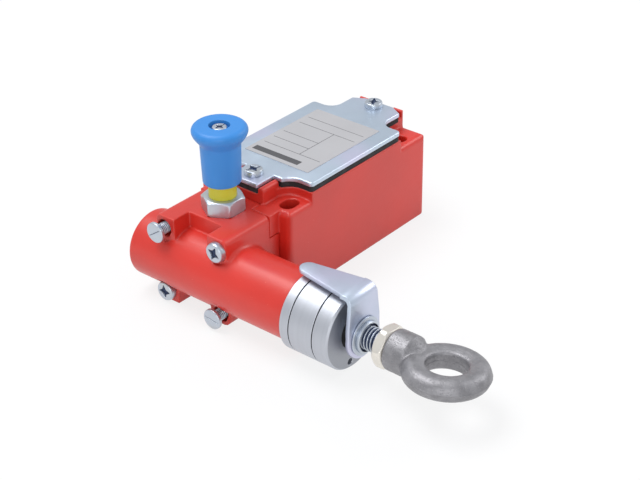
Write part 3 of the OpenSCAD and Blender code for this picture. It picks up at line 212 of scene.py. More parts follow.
class Flow:
    """A value that runs through a node tree. Sums and products of flows add Math nodes."""

    def __init__(self, nodes, socket):
        self.nodes = nodes
        self.socket = socket

    def maths(self, operation, *values):
        return self.nodes.add("ShaderNodeMath", {"operation": operation},
                              dict(enumerate(values)))["Value"]

    def __add__(self, other):
        return self.maths("ADD", self, other)

    def __radd__(self, other):
        return self.maths("ADD", other, self)

    def __sub__(self, other):
        return self.maths("SUBTRACT", self, other)

    def __rsub__(self, other):
        return self.maths("SUBTRACT", other, self)

    def __mul__(self, other):
        return self.maths("MULTIPLY", self, other)

    def __rmul__(self, other):
        return self.maths("MULTIPLY", other, self)

    def __lt__(self, other):
        return self.maths("LESS_THAN", self, other)

    def __gt__(self, other):
        return self.maths("GREATER_THAN", self, other)

    def size(self):
        return self.maths("ABSOLUTE", self)

    def root(self):
        return self.maths("SQRT", self)

    def least(self, other):
        return self.maths("MINIMUM", self, other)

    def between(self, low, high):
        """Runs smoothly from 0 at low to 1 at high."""
        return self.nodes.add("ShaderNodeMapRange", {"interpolation_type": "SMOOTHSTEP"},
                              {"Value": self, "From Min": low, "From Max": high})["Result"]


class Added:
    """A node whose outputs are read as flows by name."""

    def __init__(self, nodes, node):
        self.nodes = nodes
        self.node = node

    def __getitem__(self, name):
        found = [s for s in self.node.outputs if s.name == name and s.enabled]
        return Flow(self.nodes, found[0])


class Nodes:
    """The node tree of a material or of the world, emptied and filled anew."""

    def __init__(self, owner):
        owner.use_nodes = True
        self.tree = owner.node_tree
        self.tree.nodes.clear()

    def add(self, kind, settings=None, values=None):
        """Adds a node of a type, with its settings first and then its sockets."""
        node = self.tree.nodes.new(kind)
        for key, value in (settings or {}).items():
            setattr(node, key, value)
        for key, value in (values or {}).items():
            socket = node.inputs[key] if isinstance(key, int) else next(
                s for s in node.inputs if s.name == key and s.enabled)
            if isinstance(value, Flow):
                self.tree.links.new(value.socket, socket)
            elif value is not None:
                socket.default_value = value
        return Added(self, node)

    def mixed(self, factor, first, second):
        """Mixes two shaders."""
        return self.add("ShaderNodeMixShader", None, {0: factor, 1: first, 2: second})["Shader"]


class Finish(Nodes):
    """One procedural material."""

    def __init__(self, name):
        self.material = bpy.data.materials.new(name)
        super().__init__(self.material)
        self.place = self.add("ShaderNodeTexCoord")["Object"]

    def parts(self, vector=None):
        made = self.add("ShaderNodeSeparateXYZ", None, {"Vector": vector or self.place})
        return made["X"], made["Y"], made["Z"]

    def noise(self, scale, detail=3.0, roughness=0.5, vector=None):
        return self.add("ShaderNodeTexNoise", None,
                        {"Vector": vector or self.place, "Scale": scale, "Detail": detail,
                         "Roughness": roughness})["Fac"]

    def cells(self, scale):
        """Distance to the nearest of scattered points."""
        return self.add("ShaderNodeTexVoronoi", {"feature": "F1"},
                        {"Vector": self.place, "Scale": scale})["Distance"]

    def vector(self, operation, first, second, result="Vector"):
        return self.add("ShaderNodeVectorMath", {"operation": operation},
                        {0: first, 1: second})[result]

    def away_from(self, point):
        """The place as seen from a point."""
        return self.vector("SUBTRACT", self.place, tuple(point))

    def stretched(self, *sizes):
        """The place, scaled along each axis."""
        return self.vector("MULTIPLY", self.place, sizes)

    def blend(self, factor, *colours):
        """Mixes two colours."""
        first, second = (c if isinstance(c, Flow) else (*c, 1.0) for c in colours)
        made = self.add("ShaderNodeMix", {"data_type": "RGBA"}, {0: factor, 6: first, 7: second})
        return Flow(self, made.node.outputs[2])

    def toned(self, factor, colour_of, low, high):
        """One colour, darker or lighter with the factor."""
        return self.blend(factor, shade(colour_of, low), shade(colour_of, high))

    def soft_edges(self, radius):
        """The normal, rounded along the edges."""
        return self.add("ShaderNodeBevel", {"samples": 4}, {"Radius": radius})["Normal"]

    def edges(self, radius):
        """1 along convex and concave edges within a radius, 0 on open faces."""
        same = self.vector("DOT_PRODUCT", self.soft_edges(radius),
                           self.add("ShaderNodeNewGeometry")["Normal"], "Value")
        return (1.0 - same).between(0.015, 0.22)

    def depth(self, reach):
        """Painted shade mask from ambient occlusion: 0 on open faces, up to 1 deep inside a recess of
        the given size.
        """
        open_sky = self.add("ShaderNodeAmbientOcclusion", {"samples": 6}, {"Distance": reach})["AO"]
        return (1.0 - open_sky).between(0.25, 0.75)

    def bump(self, height, strength, distance, under=None):
        return self.add("ShaderNodeBump", None,
                        {"Strength": strength, "Distance": distance, "Height": height,
                         "Normal": under})["Normal"]

    def close(self, **values):
        """Ends the material with its surface shader. Underscores in the names stand for spaces."""
        shader = self.add("ShaderNodeBsdfPrincipled", None,
                          {key.replace("_", " "): value for key, value in values.items()})
        self.add("ShaderNodeOutputMaterial", None, {"Surface": shader["BSDF"]})
        return self.material


def shade(value, factor):
    return tuple(min(1.0, c * factor) for c in value)


# ---- finishes ----


def red_enamel(colours):
    """Satin enamel with a little orange peel, dust specks, and pale edges that are partly worn thin
    enamel and partly a painted highlight.
    """
    f = Finish("red_enamel")
    broad = f.noise(38.0, 2.0)
    flow = f.noise(420.0, 2.0)
    grain = f.noise(2600.0, 2.0)
    specks = f.noise(900.0, 4.0, 0.62).between(0.67, 0.75)
    dust = f.noise(1250.0, 2.0, 0.5, f.away_from((0.3, 0.2, 0.1))).between(0.74, 0.78)
    # Edge mask: worn thin enamel and a painted highlight along convex and concave edges
    edge = f.edges(0.0006) * f.noise(520.0, 4.0, 0.6).between(0.46, 0.60)
    base = f.toned(broad.between(0.3, 0.7), colours.enamel, 0.94, 1.05)
    # Painted highlight and wear: the edges are lightened towards the pale enamel
    base = f.blend(edge * 0.8, base, colours.enamel_pale_wear_and_highlight)
    base = f.blend(specks * 0.2, base, shade(colours.enamel, 0.55))
    base = f.blend(dust * 0.35, base, colours.enamel_pale_wear_and_highlight)
    rough = 0.34 + 0.09 * broad + 0.06 * flow + 0.12 * specks
    height = flow * 0.75 + grain * 0.25
    return f.close(Base_Color=base, Roughness=rough, Coat_Weight=0.25, Coat_Roughness=0.22,
                   IOR=1.5, Normal=f.bump(height, 0.16, 0.0004, f.soft_edges(0.0003)))


def knob_plastic(colours):
    """Moulded blue, scuffed along the rim."""
    f = Finish("knob_plastic")
    haze = f.noise(90.0, 3.0)
    grain = f.noise(3200.0, 2.0)
    scuff = f.noise(700.0, 5.0, 0.7, f.stretched(1.0, 1.0, 0.15)).between(0.62, 0.72)
    edge = f.edges(0.0005)
    base = f.toned(haze, colours.knob, 0.94, 1.06)
    base = f.blend(edge * 0.25 + scuff * 0.08, base, (0.16, 0.40, 0.80))
    rough = 0.40 + 0.08 * haze + 0.12 * scuff
    return f.close(Base_Color=base, Roughness=rough, IOR=1.47,
                   Normal=f.bump(grain * 0.6 + haze * 0.4, 0.09, 0.0003, f.soft_edges(0.0003)))


def sleeve_plastic(colours):
    """Moulded yellow, a little cloudy."""
    f = Finish("sleeve_plastic")
    haze = f.noise(150.0, 3.0)
    return f.close(Base_Color=f.toned(haze, colours.sleeve, 0.86, 1.08),
                   Roughness=0.36 + 0.12 * haze, IOR=1.49,
                   Normal=f.bump(f.noise(2800.0, 2.0), 0.10, 0.0003))


def inner_moulding(colours):
    """Insulating plastic with a dull skin."""
    f = Finish("inner_moulding")
    haze = f.noise(120.0, 3.0)
    return f.close(Base_Color=f.toned(haze, colours.moulding, 0.9, 1.06),
                   Roughness=0.5 + 0.14 * haze, IOR=1.5,
                   Normal=f.bump(f.noise(2200.0), 0.14, 0.0003, f.soft_edges(0.0003)))


def seal_rubber(colours):
    """Dark rubber with a little dust."""
    f = Finish("seal_rubber")
    dust = f.noise(240.0, 4.0, 0.6)
    return f.close(Base_Color=f.toned(dust.between(0.45, 0.8), colours.rubber, 1.0, 3.4),
                   Roughness=0.68 + 0.18 * dust, IOR=1.5,
                   Normal=f.bump(f.noise(3600.0), 0.2, 0.0003))


def zinc_sheet(colours):
    """Bright plated sheet with a clouded violet tint, faint rolling marks and a painted highlight along
    its edges.
    """
    f = Finish("zinc_sheet")
    cloud = f.noise(60.0, 4.0, 0.6)
    tint = f.noise(34.0, 2.0, 0.4).between(0.40, 0.66)
    spangle = f.cells(520.0)
    rolled = f.noise(900.0, 3.0, 0.6, f.stretched(1.0, 0.05, 1.0))
    base = f.toned(cloud, colours.zinc, 0.92, 1.06)
    base = f.blend(tint * 0.6, base, colours.zinc_tint)
    # Painted highlight: the edges are lightened to stand for the bright rim that the rolled edge
    # catches
    base = f.blend(f.edges(0.0004) * 0.5, base, (0.78, 0.80, 0.84))
    rough = 0.30 + 0.12 * cloud + 0.05 * spangle + 0.06 * rolled
    return f.close(Base_Color=base, Metallic=0.9, Roughness=rough,
                   Normal=f.bump(rolled * 0.6 + cloud * 0.4, 0.07, 0.0003, f.soft_edges(0.0002)))


def plated_steel(colours):
    """Bluish plating, with painted shade inside the recesses and between the threads and a painted
    highlight along the edges.
    """
    f = Finish("plated_steel")
    cloud = f.noise(210.0, 4.0, 0.6)
    scratch = f.noise(2400.0, 4.0, 0.6, f.stretched(1.0, 0.12, 0.4))
    tint = f.noise(130.0, 2.0).between(0.5, 0.75)
    base = f.toned(cloud, colours.steel, 0.84, 1.14)
    base = f.blend(tint * 0.25, base, (0.62, 0.57, 0.44))
    # Painted highlight: the edges are lightened towards pale grey
    base = f.blend(f.edges(0.0003) * 0.4, base, (0.82, 0.82, 0.82))
    # Painted shade: recesses are darkened towards dark blue by ambient occlusion
    base = f.blend(f.depth(0.0011) * 0.8, base, colours.recess)
    low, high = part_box("jam_nut")
    along = f.parts()[0]
    on_nut = (along > low.x - 0.1 * MM) * (along < high.x + 0.1 * MM)
    base = f.blend(on_nut * 0.8, base, colours.nut)
    # Painted shade: thread valleys and recesses marked on the meshes are painted dark blue, duller and
    # less metallic
    sunk = f.add("ShaderNodeAttribute", {"attribute_name": "sunk"})["Fac"].between(0.12, 0.6)
    base = f.blend(sunk * 0.9, base, colours.recess)
    rough = 0.26 + 0.16 * cloud + 0.08 * scratch + 0.2 * sunk
    return f.close(Base_Color=base, Metallic=0.94 - 0.3 * sunk, Roughness=rough,
                   Normal=f.bump(scratch, 0.1, 0.0002, f.soft_edges(0.00015)))


def spring_wire(colours):
    """Drawn wire."""
    f = Finish("spring_wire")
    drawn = f.noise(1800.0, 3.0)
    return f.close(Base_Color=f.toned(drawn, colours.steel, 0.55, 0.85), Metallic=1.0,
                   Roughness=0.3 + 0.14 * drawn, Normal=f.bump(drawn, 0.08, 0.0002))


def strip_brass(colours):
    """Rolled strip, tarnished in patches."""
    f = Finish("strip_brass")
    tarnish = f.noise(260.0, 4.0, 0.65)
    rolled = f.noise(1500.0, 3.0, 0.5, f.stretched(0.1, 1.0, 1.0))
    return f.close(Base_Color=f.toned(tarnish.between(0.4, 0.75), colours.brass, 1.0, 0.6),
                   Metallic=1.0, Roughness=0.26 + 0.2 * tarnish,
                   Normal=f.bump(rolled, 0.08, 0.0002, f.soft_edges(0.0002)))


def turned_alloy(colours):
    """Fine tool marks run round the barrel axis, and round the end face. Painted shade darkens the end
    face, the grooves and the spanner hole, and a painted highlight lightens the edges.
    """
    f = Finish("turned_alloy")
    along, across, up = f.parts(f.away_from(BARREL_AXIS))
    radius = (across * across + up * up).root()
    marks = f.add("ShaderNodeCombineXYZ", None, {"X": along, "Y": radius, "Z": 0.0})["Vector"]
    lines = f.noise(5200.0, 3.0, 0.7, marks)
    bands = f.noise(700.0, 2.0, 0.5, marks)
    cloud = f.noise(80.0, 3.0)
    base = f.toned(bands, colours.alloy, 0.92, 1.08)
    # Painted highlight: the edges are lightened towards pale grey
    base = f.blend(f.edges(0.0003) * 0.4, base, (0.74, 0.76, 0.80))
    # Painted shade: the end face, turned away from the lamps, is painted darker
    face = f.parts()[0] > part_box("barrel_cap")[1].x - 5 * TOUCH
    base = f.blend(face * 0.75, base, shade(colours.alloy, 0.62))
    # Painted shade: grooves and the spanner hole are darkened nearly to black by ambient occlusion
    base = f.blend(f.depth(0.0007) * 0.95, base, (0.01, 0.012, 0.02))
    rough = 0.42 + 0.1 * lines + 0.07 * cloud
    return f.close(Base_Color=base, Metallic=0.95, Roughness=rough,
                   Normal=f.bump(lines * 0.6 + bands * 0.4, 0.12, 0.0002, f.soft_edges(0.0002)))


def blasted_iron(colours):
    """Pitted casting, with the parting ridge round the outside of the eye and painted glints on its
    fine grain.
    """
    f = Finish("blasted_iron")
    above = f.vector("DOT_PRODUCT", f.away_from(EYE_CENTRE), tuple(EYE_AXIS), "Value")
    coarse = f.noise(300.0, 3.0, 0.5)
    fine = f.noise(2100.0, 4.0, 0.65)
    pits = f.cells(1500.0).between(0.10, 0.40)
    wander = above + (f.noise(190.0, 2.0) - 0.5) * 0.0007
    ridge = 1.0 - wander.size().between(0.0001, 0.0005)
    base = f.toned(coarse.between(0.3, 0.7), colours.casting, 0.86, 1.14)
    base = f.blend((1.0 - pits) * 0.35, base, shade(colours.casting, 0.6))
    # Painted glints: light grey specks on the fine grain stand for the sparkle of the blasted skin
    base = f.blend(fine.between(0.56, 0.72) * 0.3, base, (0.62, 0.61, 0.63))
    rough = 0.36 + 0.1 * coarse + 0.1 * fine
    height = coarse * 0.2 + fine * 0.45 + pits * 0.35 + ridge * 0.5
    return f.close(Base_Color=base, Metallic=0.7, Roughness=rough,
                   Normal=f.bump(height, 0.6, 0.0003))


def ruled_foil(colours):
    """Bare satin foil with one dark band and plain rules. It carries no words."""
    low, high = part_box("rating_label")
    f = Finish("ruled_foil")
    across, along, _ = f.parts()
    middle, half = (low + high) / 2, (high - low) / 2
    margin, line, column = 0.0016, 0.00012, low.x + (high.x - low.x) * 0.62
    inset_x = half.x - (across - middle.x).size()
    inset_y = half.y - (along - middle.y).size()
    inside = inset_x.least(inset_y) > margin
    marks = ((across - column).size() < line) * inside * (
        along > middle.y - 0.0112) * (along < middle.y + 0.0075)
    for y, right in ((0.0125, high.x), (0.0075, high.x), (-0.001, column), (-0.0062, column),
                     (-0.0112, high.x)):
        marks = marks + ((along - (middle.y + y)).size() < line) * inside * (across < right)
    band = (along > low.y + 0.0018) * (along < low.y + 0.0046) * (
        across > low.x + margin) * (across < high.x - 0.0062)
    ink = (marks + band).between(0.2, 0.9)
    brushed = f.noise(1500.0, 4.0, 0.6, f.stretched(0.03, 1.0, 1.0))
    base = f.toned(f.noise(70.0, 3.0), colours.foil, 0.92, 1.08)
    base = f.blend(ink * 0.88, base, colours.ink)
    return f.close(Base_Color=base, Metallic=0.35 - 0.3 * ink,
                   Roughness=0.38 + 0.12 * brushed + 0.1 * ink,
                   Normal=f.bump(brushed, 0.06, 0.0002))


FINISHES = {
    "red_enamel": red_enamel,
    "black_rubber": seal_rubber,
    "zinc_sheet": zinc_sheet,
    "plated_steel": plated_steel,
    "turned_alloy": turned_alloy,
    "spring_steel": spring_wire,
    "cast_iron": blasted_iron,
    "blue_plastic": knob_plastic,
    "yellow_plastic": sleeve_plastic,
    "cream_plastic": inner_moulding,
    "brass": strip_brass,
    "satin_foil": ruled_foil,
}
_made = {}


def finish_of(slot_name):
    """The finish for a material slot of the record, made once."""
    if slot_name not in _made:
        _made[slot_name] = FINISHES[slot_name](bpy.context.scene.switch_colours)
    return _made[slot_name]


def slot_of(node):
    return next(p["material_slot"] for p in frame["record"]["subparts"] if p["node"] == node)


def body_holding(node):
    for body, nodes in frame["record"]["behaviour"]["bodies"].items():
        if node in nodes:
            return body
    raise RuntimeError(f"no body holds {node}")


def coat(*nodes):
    """Gives solids of the frame their finish."""
    for node in nodes:
        solid = frame["nodes"][node]
        solid.data.materials.clear()
        solid.data.materials.append(finish_of(slot_of(node)))
        for face in solid.data.polygons:
            face.material_index = 0


# ---- mesh helpers ----


def stand(name, data):
    """A new object in the scene."""
    made = bpy.data.objects.new(name, data)
    bpy.context.scene.collection.objects.link(made)
    return made


def corners(mesh):
    """The vertices of a mesh as an array."""
    co = np.empty(len(mesh.vertices) * 3)
    mesh.vertices.foreach_get("co", co)
    return co.reshape(-1, 3)


def corners_of(node):
    return corners(frame["nodes"][node].data)


def set_corners(mesh, co):
    mesh.vertices.foreach_set("co", co.ravel())
    mesh.update()


def new_piece(name, mesh, node):
    """Lets a mesh stand for a solid: held inside its box, on its body and with its finish."""
    low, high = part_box(node)
    set_corners(mesh, np.clip(corners(mesh), np.array(low), np.array(high)))
    mesh.materials.clear()
    mesh.materials.append(finish_of(slot_of(node)))
    piece = stand(name, mesh)
    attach(piece, body_holding(node))
    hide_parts(node)


def smooth(mesh, crease=math.radians(40.0)):
    """Shades a mesh smooth, except where its faces meet at more than the crease."""
    mesh.polygons.foreach_set("use_smooth", [True] * len(mesh.polygons))
    mesh.set_sharp_from_angle(angle=crease)
    return mesh


def mesh_from(name, points, faces):
    """A mesh with its faces turned outward."""
    mesh = bpy.data.meshes.new(name)
    mesh.from_pydata([tuple(p) for p in points], [], faces)
    form = bmesh.new()
    form.from_mesh(mesh)
    bmesh.ops.recalc_face_normals(form, faces=form.faces)
    form.to_mesh(mesh)
    form.free()
    return smooth(mesh)


def around(steps, start=0.0):
    """Evenly spaced angles of a full turn."""
    return start + np.linspace(0.0, 2 * math.pi, steps, endpoint=False)


def axes_about(axis):
    """Three directions as rows: two across an axis and the axis itself."""
    axis = Vector(axis).normalized()
    side = axis.orthogonal().normalized()
    return np.array((side, axis.cross(side), axis))


def skin_of(rings, loop=False):
    """Faces between rings of points. The two ends are closed, or the last ring meets the first."""
    steps, last = len(rings[0]), len(rings) - (0 if loop else 1)
    faces = [(i * steps + j, i * steps + (j + 1) % steps,
              (i + 1) % len(rings) * steps + (j + 1) % steps, (i + 1) % len(rings) * steps + j)
             for i in range(last) for j in range(steps)]
    if not loop:
        faces.append(tuple(reversed(range(steps))))
        faces.append(tuple(last * steps + j for j in range(steps)))
    return faces


def ring_mesh(name, rings, origin, axis, loop=False):
    """A form made of rings of points. X and Y of a ring lie across the axis, Z runs along it."""
    points = np.array(origin) + np.concatenate(rings) @ axes_about(axis)
    return mesh_from(name, points, skin_of(rings, loop))


def keep_depth_for_painted_shade(mesh, sunk):
    """Keeps for the finish how deep each vertex lies in a thread or recess, from 0 to 1; the plated
    finish paints shade there.
    """
    layer = mesh.attributes.new("sunk", "FLOAT", "POINT")
    layer.data.foreach_set("value", np.asarray(sunk, dtype=np.float32))


def rounded(points, steps=6):
    """A closed outline with round corners. points holds (x, y, radius of the corner)."""
    outline = []
    for index, (x, y, radius) in enumerate(points):
        here = Vector((x, y))
        if radius == 0.0:
            outline.append(here)
            continue
        back = (Vector(points[index - 1][:2]) - here).normalized()
        ahead = (Vector(points[(index + 1) % len(points)][:2]) - here).normalized()
        half = back.angle(ahead) / 2
        centre = here + (back + ahead).normalized() * radius / math.sin(half)
        first = here + back * radius / math.tan(half) - centre
        last = here + ahead * radius / math.tan(half) - centre
        for k in range(steps + 1):
            outline.append(centre + first.lerp(last, k / steps).normalized() * radius)
    return np.array([tuple(p) for p in outline])


def drawn_in(outline, inset):
    """A closed outline, counter-clockwise, moved inward by a distance."""
    run = np.roll(outline, -1, axis=0) - outline
    inward = np.column_stack((-run[:, 1], run[:, 0])) / np.linalg.norm(run, axis=1)[:, None]
    before = np.roll(inward, 1, axis=0)
    share = 1.0 + (inward * before).sum(axis=1)
    return outline + inset * (inward + before) / share[:, None]


def slab(name, outline, levels):
    """A flat piece. levels holds (height, how far its outline is drawn in)."""
    rings = [np.column_stack((drawn_in(outline, inset), np.full(len(outline), height)))
             for height, inset in levels]
    return mesh_from(name, np.concatenate(rings), skin_of(rings))


def ring(radius, along, angles):
    """One ring. The radius and the place along the axis may vary with the angle."""
    return np.column_stack((radius * np.cos(angles), radius * np.sin(angles),
                            np.broadcast_to(along, angles.shape)))


def hexed(angles, start, flats):
    """Distance from the axis to the side of a hexagon at each angle, one corner being at start."""
    off = (angles - start) % (math.pi / 3) - math.pi / 6
    return flats / 2 / np.cos(off)


def nut_mesh(name, node, axis, flats, limits, inner):
    """A hexagon trimmed by cones. limits holds (place along the axis, largest radius)."""
    across = axes_about(axis)
    co = corners_of(node)
    low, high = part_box(node)
    middle = np.array((low + high) / 2)
    flat = (co - middle) @ across[:2].T
    far = flat[np.argmax(np.linalg.norm(flat, axis=1))]
    start = math.atan2(far[1], far[0])
    angles = around(144, start)
    rings = [ring(limits[0][1], limits[0][0], angles)]
    for (along, limit), (next_along, next_limit) in zip(limits, limits[1:]):
        for t in np.linspace(0.0, 1.0, 9)[1:] if next_limit != limit else (1.0,):
            level = limit + (next_limit - limit) * t
            rings.append(ring(np.minimum(hexed(angles, start, flats), level),
                              along + (next_along - along) * t, angles))
    rings += [ring(radius, along, angles) for along, radius in inner]
    return ring_mesh(name, rings, middle - across[2] * (middle @ across[2]), axis, True)


def turned(name, rows, steps, origin, axis, loop=False):
    """A form turned about an axis. rows holds (distance along the axis, radius)."""
    rings = [ring(radius, along, around(steps)) for along, radius in rows]
    return ring_mesh(name, rings, origin, axis, loop)


def swept(start, first_pull, second_pull, end, steps):
    """Points of a cubic curve, its start left out."""
    a, b, c, d = (np.array(p) for p in (start, first_pull, second_pull, end))
    return [tuple(a * (1 - t) ** 3 + b * 3 * t * (1 - t) ** 2 + c * 3 * t * t * (1 - t) + d * t ** 3)
            for t in (k / steps for k in range(1, steps + 1))]


def valley(along, angles, pitch):
    """How far a point lies into a thread: 0 on the crests, 1 in the valleys."""
    steep = 1.7
    phase = (along / pitch - angles / (2 * math.pi)) % 1.0
    return np.clip(0.5 + steep * (0.5 - abs(2.0 * phase - 1.0)), 0.0, 1.0)


def drop(thing):
    """Removes an object together with its mesh."""
    mesh = thing.data
    bpy.data.objects.remove(thing)
    bpy.data.meshes.remove(mesh)


def worked(mesh, name, *steps):
    """A mesh after modifiers. Each step holds a modifier's type and its settings."""
    maker = stand(name + "_maker", mesh)
    for kind, settings in steps:
        step = maker.modifiers.new(kind.lower(), kind)
        for key, value in settings.items():
            setattr(step, key, value)
    bpy.context.view_layer.update()
    graph = bpy.context.evaluated_depsgraph_get()
    made = bpy.data.meshes.new_from_object(maker.evaluated_get(graph))
    drop(maker)
    made.name = name
    return made


def bored(mesh, cutters):
    """A mesh with other closed meshes cut out of it."""
    tools = [stand(cutter.name, cutter) for cutter in cutters]
    cuts = [("BOOLEAN", {"operation": "DIFFERENCE", "solver": "EXACT", "object": tool})
            for tool in tools]
    made = worked(mesh, mesh.name, *cuts)
    for tool in tools:
        drop(tool)
    return smooth(made)


def fair(mesh, rounds, soft, firm):
    """Evens out a mesh. Each round that draws it in is followed by one that lets it out."""
    co = corners(mesh)
    ends = np.empty(len(mesh.edges) * 2, dtype=np.int64)
    mesh.edges.foreach_get("vertices", ends)
    one, other = ends.reshape(-1, 2).T
    degree = np.maximum(np.bincount(ends, minlength=len(co)), 1).astype(float)
    for weight in (soft, firm) * rounds:
        total = np.column_stack([np.bincount(one, co[other, axis], len(co))
                                 + np.bincount(other, co[one, axis], len(co)) for axis in range(3)])
        co = co + weight * (total / degree[:, None] - co)
    set_corners(mesh, co)


def recast(node, name, step, rounds, firm, prepare=None):
    """A copy of a solid with the small fillets of a casting in place of its sharp edges."""
    mesh = frame["nodes"][node].data.copy()
    if prepare:
        prepare(mesh)
    cast = worked(mesh, name, ("REMESH", {"mode": "VOXEL", "voxel_size": step, "adaptivity": 0.0}))
    if not cast.vertices:
        raise RuntimeError(f"{node} came out empty")
    fair(cast, rounds, 0.5, firm)
    return smooth(cast, math.pi)


def welded(node):
    """A solid of the frame as an editable form, its doubled vertices made one."""
    form = bmesh.new()
    form.from_mesh(frame["nodes"][node].data)
    bmesh.ops.remove_doubles(form, verts=form.verts, dist=WELD)
    return form


def eased(node, name, width, segments):
    """A copy of a sheet piece with small rounds along its sharp edges."""
    form = welded(node)
    bmesh.ops.dissolve_limit(form, angle_limit=math.radians(1.0), verts=form.verts, edges=form.edges)
    sharp = [e for e in form.edges if e.is_manifold and e.calc_face_angle(0.0) > math.radians(35.0)]
    bmesh.ops.bevel(form, geom=sharp, offset=width, segments=segments, profile=0.5,
                    affect="EDGES", clamp_overlap=True)
    mesh = bpy.data.meshes.new(name)
    form.to_mesh(mesh)
    form.free()
    return smooth(mesh, math.radians(38.0))


def off_barrel(co):
    """How far points lie off the barrel axis: in depth and height, and straight."""
    away = co[:, 1:] - np.array(BARREL_AXIS)[1:]
    return away, np.linalg.norm(away, axis=1)


def radii_at(node, place, along=0, centre=BARREL_AXIS):
    """The least and the largest radius of a solid's vertices at one place along an axis."""
    co = corners_of(node)
    co = co[abs(co[:, along] - place) < TOUCH] - np.array(centre)
    away = np.linalg.norm(np.delete(co, along, axis=1), axis=1)
    return float(away.min()), float(away.max())


# ---- screws ----


def islands(node):
    """The vertices of each separate piece of a node, one array for each."""
    form = welded(node)
    left, pieces = set(form.verts), []
    for seed in form.verts:
        if seed not in left:
            continue
        left.discard(seed)
        piece = [seed]
        for reached in piece:
            for edge in reached.link_edges:
                vert = edge.other_vert(reached)
                if vert in left:
                    left.discard(vert)
                    piece.append(vert)
        pieces.append(np.array([v.co[:] for v in piece]))
    form.free()
    return pieces


class Screw:
    """Place and sizes of a screw, measured on its solid. Its axis points out of its head."""

    def __init__(self, points, axis):
        self.axis = Vector(axis)
        axis = np.array(axis, dtype=float)
        middle = (points.max(axis=0) + points.min(axis=0)) / 2
        along = points @ axis
        away = np.linalg.norm(points - middle - np.outer(along - middle @ axis, axis), axis=1)
        tip, top = along.min(), along.max()
        self.shank = away[along < tip + 0.3 * (top - tip)].max()
        seat = along[away > self.shank * 1.15].min()
        self.head = away.max()
        self.height = top - seat
        self.reach = seat - tip
        self.foot = Vector(middle + axis * (seat - middle @ axis))

    def resize(self, head, height, keep_top):
        """Gives the head other sizes. Either its seat or its top stays where it is."""
        if keep_top:
            self.foot += self.axis * (self.height - height)
            self.reach += self.height - height
        self.head, self.height = head, height


def cross_recess(head, depth, slotted=False):
    """Depth of a pointed cross at a place on a screw head, with or without a slot over it."""
    arm, middle, wall = 0.72 * head, 0.34 * head, 0.05 * head

    def sunk(x, y):
        x, y = abs(x), abs(y)
        total = np.zeros_like(x)
        for out, off in ((x, y), (y, x)):
            half = middle * np.clip(1.0 - out / arm, 0.0, 1.0) ** 0.8
            inside = np.clip((half - off) / wall, 0.0, 1.0)
            total = np.maximum(total, inside * (1.0 - 0.5 * out / arm))
        if slotted:
            total = np.maximum(total, 0.55 * np.clip((0.13 * head - y) / wall, 0.0, 1.0))
        return depth * total
    return sunk


def slot_recess(head, depth, half):
    """Depth of a straight slot at a place on a screw head."""
    def sunk(x, y):
        return depth * np.clip((half - abs(y)) / (0.03 * head), 0.0, 1.0)
    return sunk


def screw_form(screw, sizes, recess, turn_of, round_from):
    """Rings of a threaded screw, and how sunk each point is. The head rounds over near its top."""
    angles, pitch, depth = around(96), sizes.screw_pitch, sizes.screw_depth
    plain = np.zeros(len(angles))
    rings, sunk = [ring(screw.shank - depth, -screw.reach, angles)], [plain]
    for k in range(int((screw.reach - 2 * depth) / pitch * 8)):
        along = depth - screw.reach + k * pitch / 8
        sunk.append(valley(along, angles, pitch))
        rings.append(ring(screw.shank - depth * sunk[-1], along, angles))
    rings.append(ring(screw.shank, 0.0, angles))
    crown_from, crown_rise, crown_rings = 0.84, 0.03, 40
    edge = [(0.0, 1.0), (round_from, 1.0)]
    edge += swept((round_from, 1.0), (0.5 * round_from + 0.5, 1.0), (0.96, 0.96),
                  (1.0 - crown_rise, crown_from), 7)
    rings += [ring(screw.head * r, screw.height * z, angles) for z, r in edge]
    sunk += [plain] * (len(edge) + 1)
    middle = np.zeros(1)
    deepest = recess(middle, middle).max()
    for k in range(1, crown_rings):
        out = 1.0 - k / crown_rings
        radius, crown = crown_from * screw.head * out, screw.height * (1.0 - crown_rise * out ** 2)
        flat = recess(radius * np.cos(angles - turn_of), radius * np.sin(angles - turn_of))
        rings.append(ring(radius, crown - flat, angles))
        sunk.append(flat / deepest)
    return rings, np.concatenate(sunk)


def dress_screws(context, node, axis, kind, turns, round_from=0.5, resized=None):
    """Puts modelled screws in place of the plain ones of a node."""
    sizes = context.scene.switch_sizes
    places, skins, sunk, start = [], [], [], 0
    for index, points in enumerate(islands(node)):
        screw = Screw(points, axis)
        if resized:
            screw.resize(*resized)
        recess = {
            "cross": cross_recess(screw.head, 0.62 * screw.height),
            "both": cross_recess(screw.head, 0.62 * screw.height, True),
            "slot": slot_recess(screw.head, 0.16 * screw.height, 0.045 * screw.head),
        }[kind]
        rings, deep = screw_form(screw, sizes, recess, turns[0] + turns[1] * index, round_from)
        places.append(np.array(screw.foot) + np.concatenate(rings) @ axes_about(screw.axis))
        skins += [tuple(start + corner for corner in face) for face in skin_of(rings)]
        # Painted shade is marked weaker in the shallow slots than in the crosses
        sunk.append(deep * (0.45 if kind == "slot" else 1.0))
        start += len(places[-1])
    mesh = mesh_from(node + "_cut", np.concatenate(places), skins)
    keep_depth_for_painted_shade(mesh, np.concatenate(sunk))
    new_piece(mesh.name, mesh, node)


# ---- operators, one for each piece or group ----


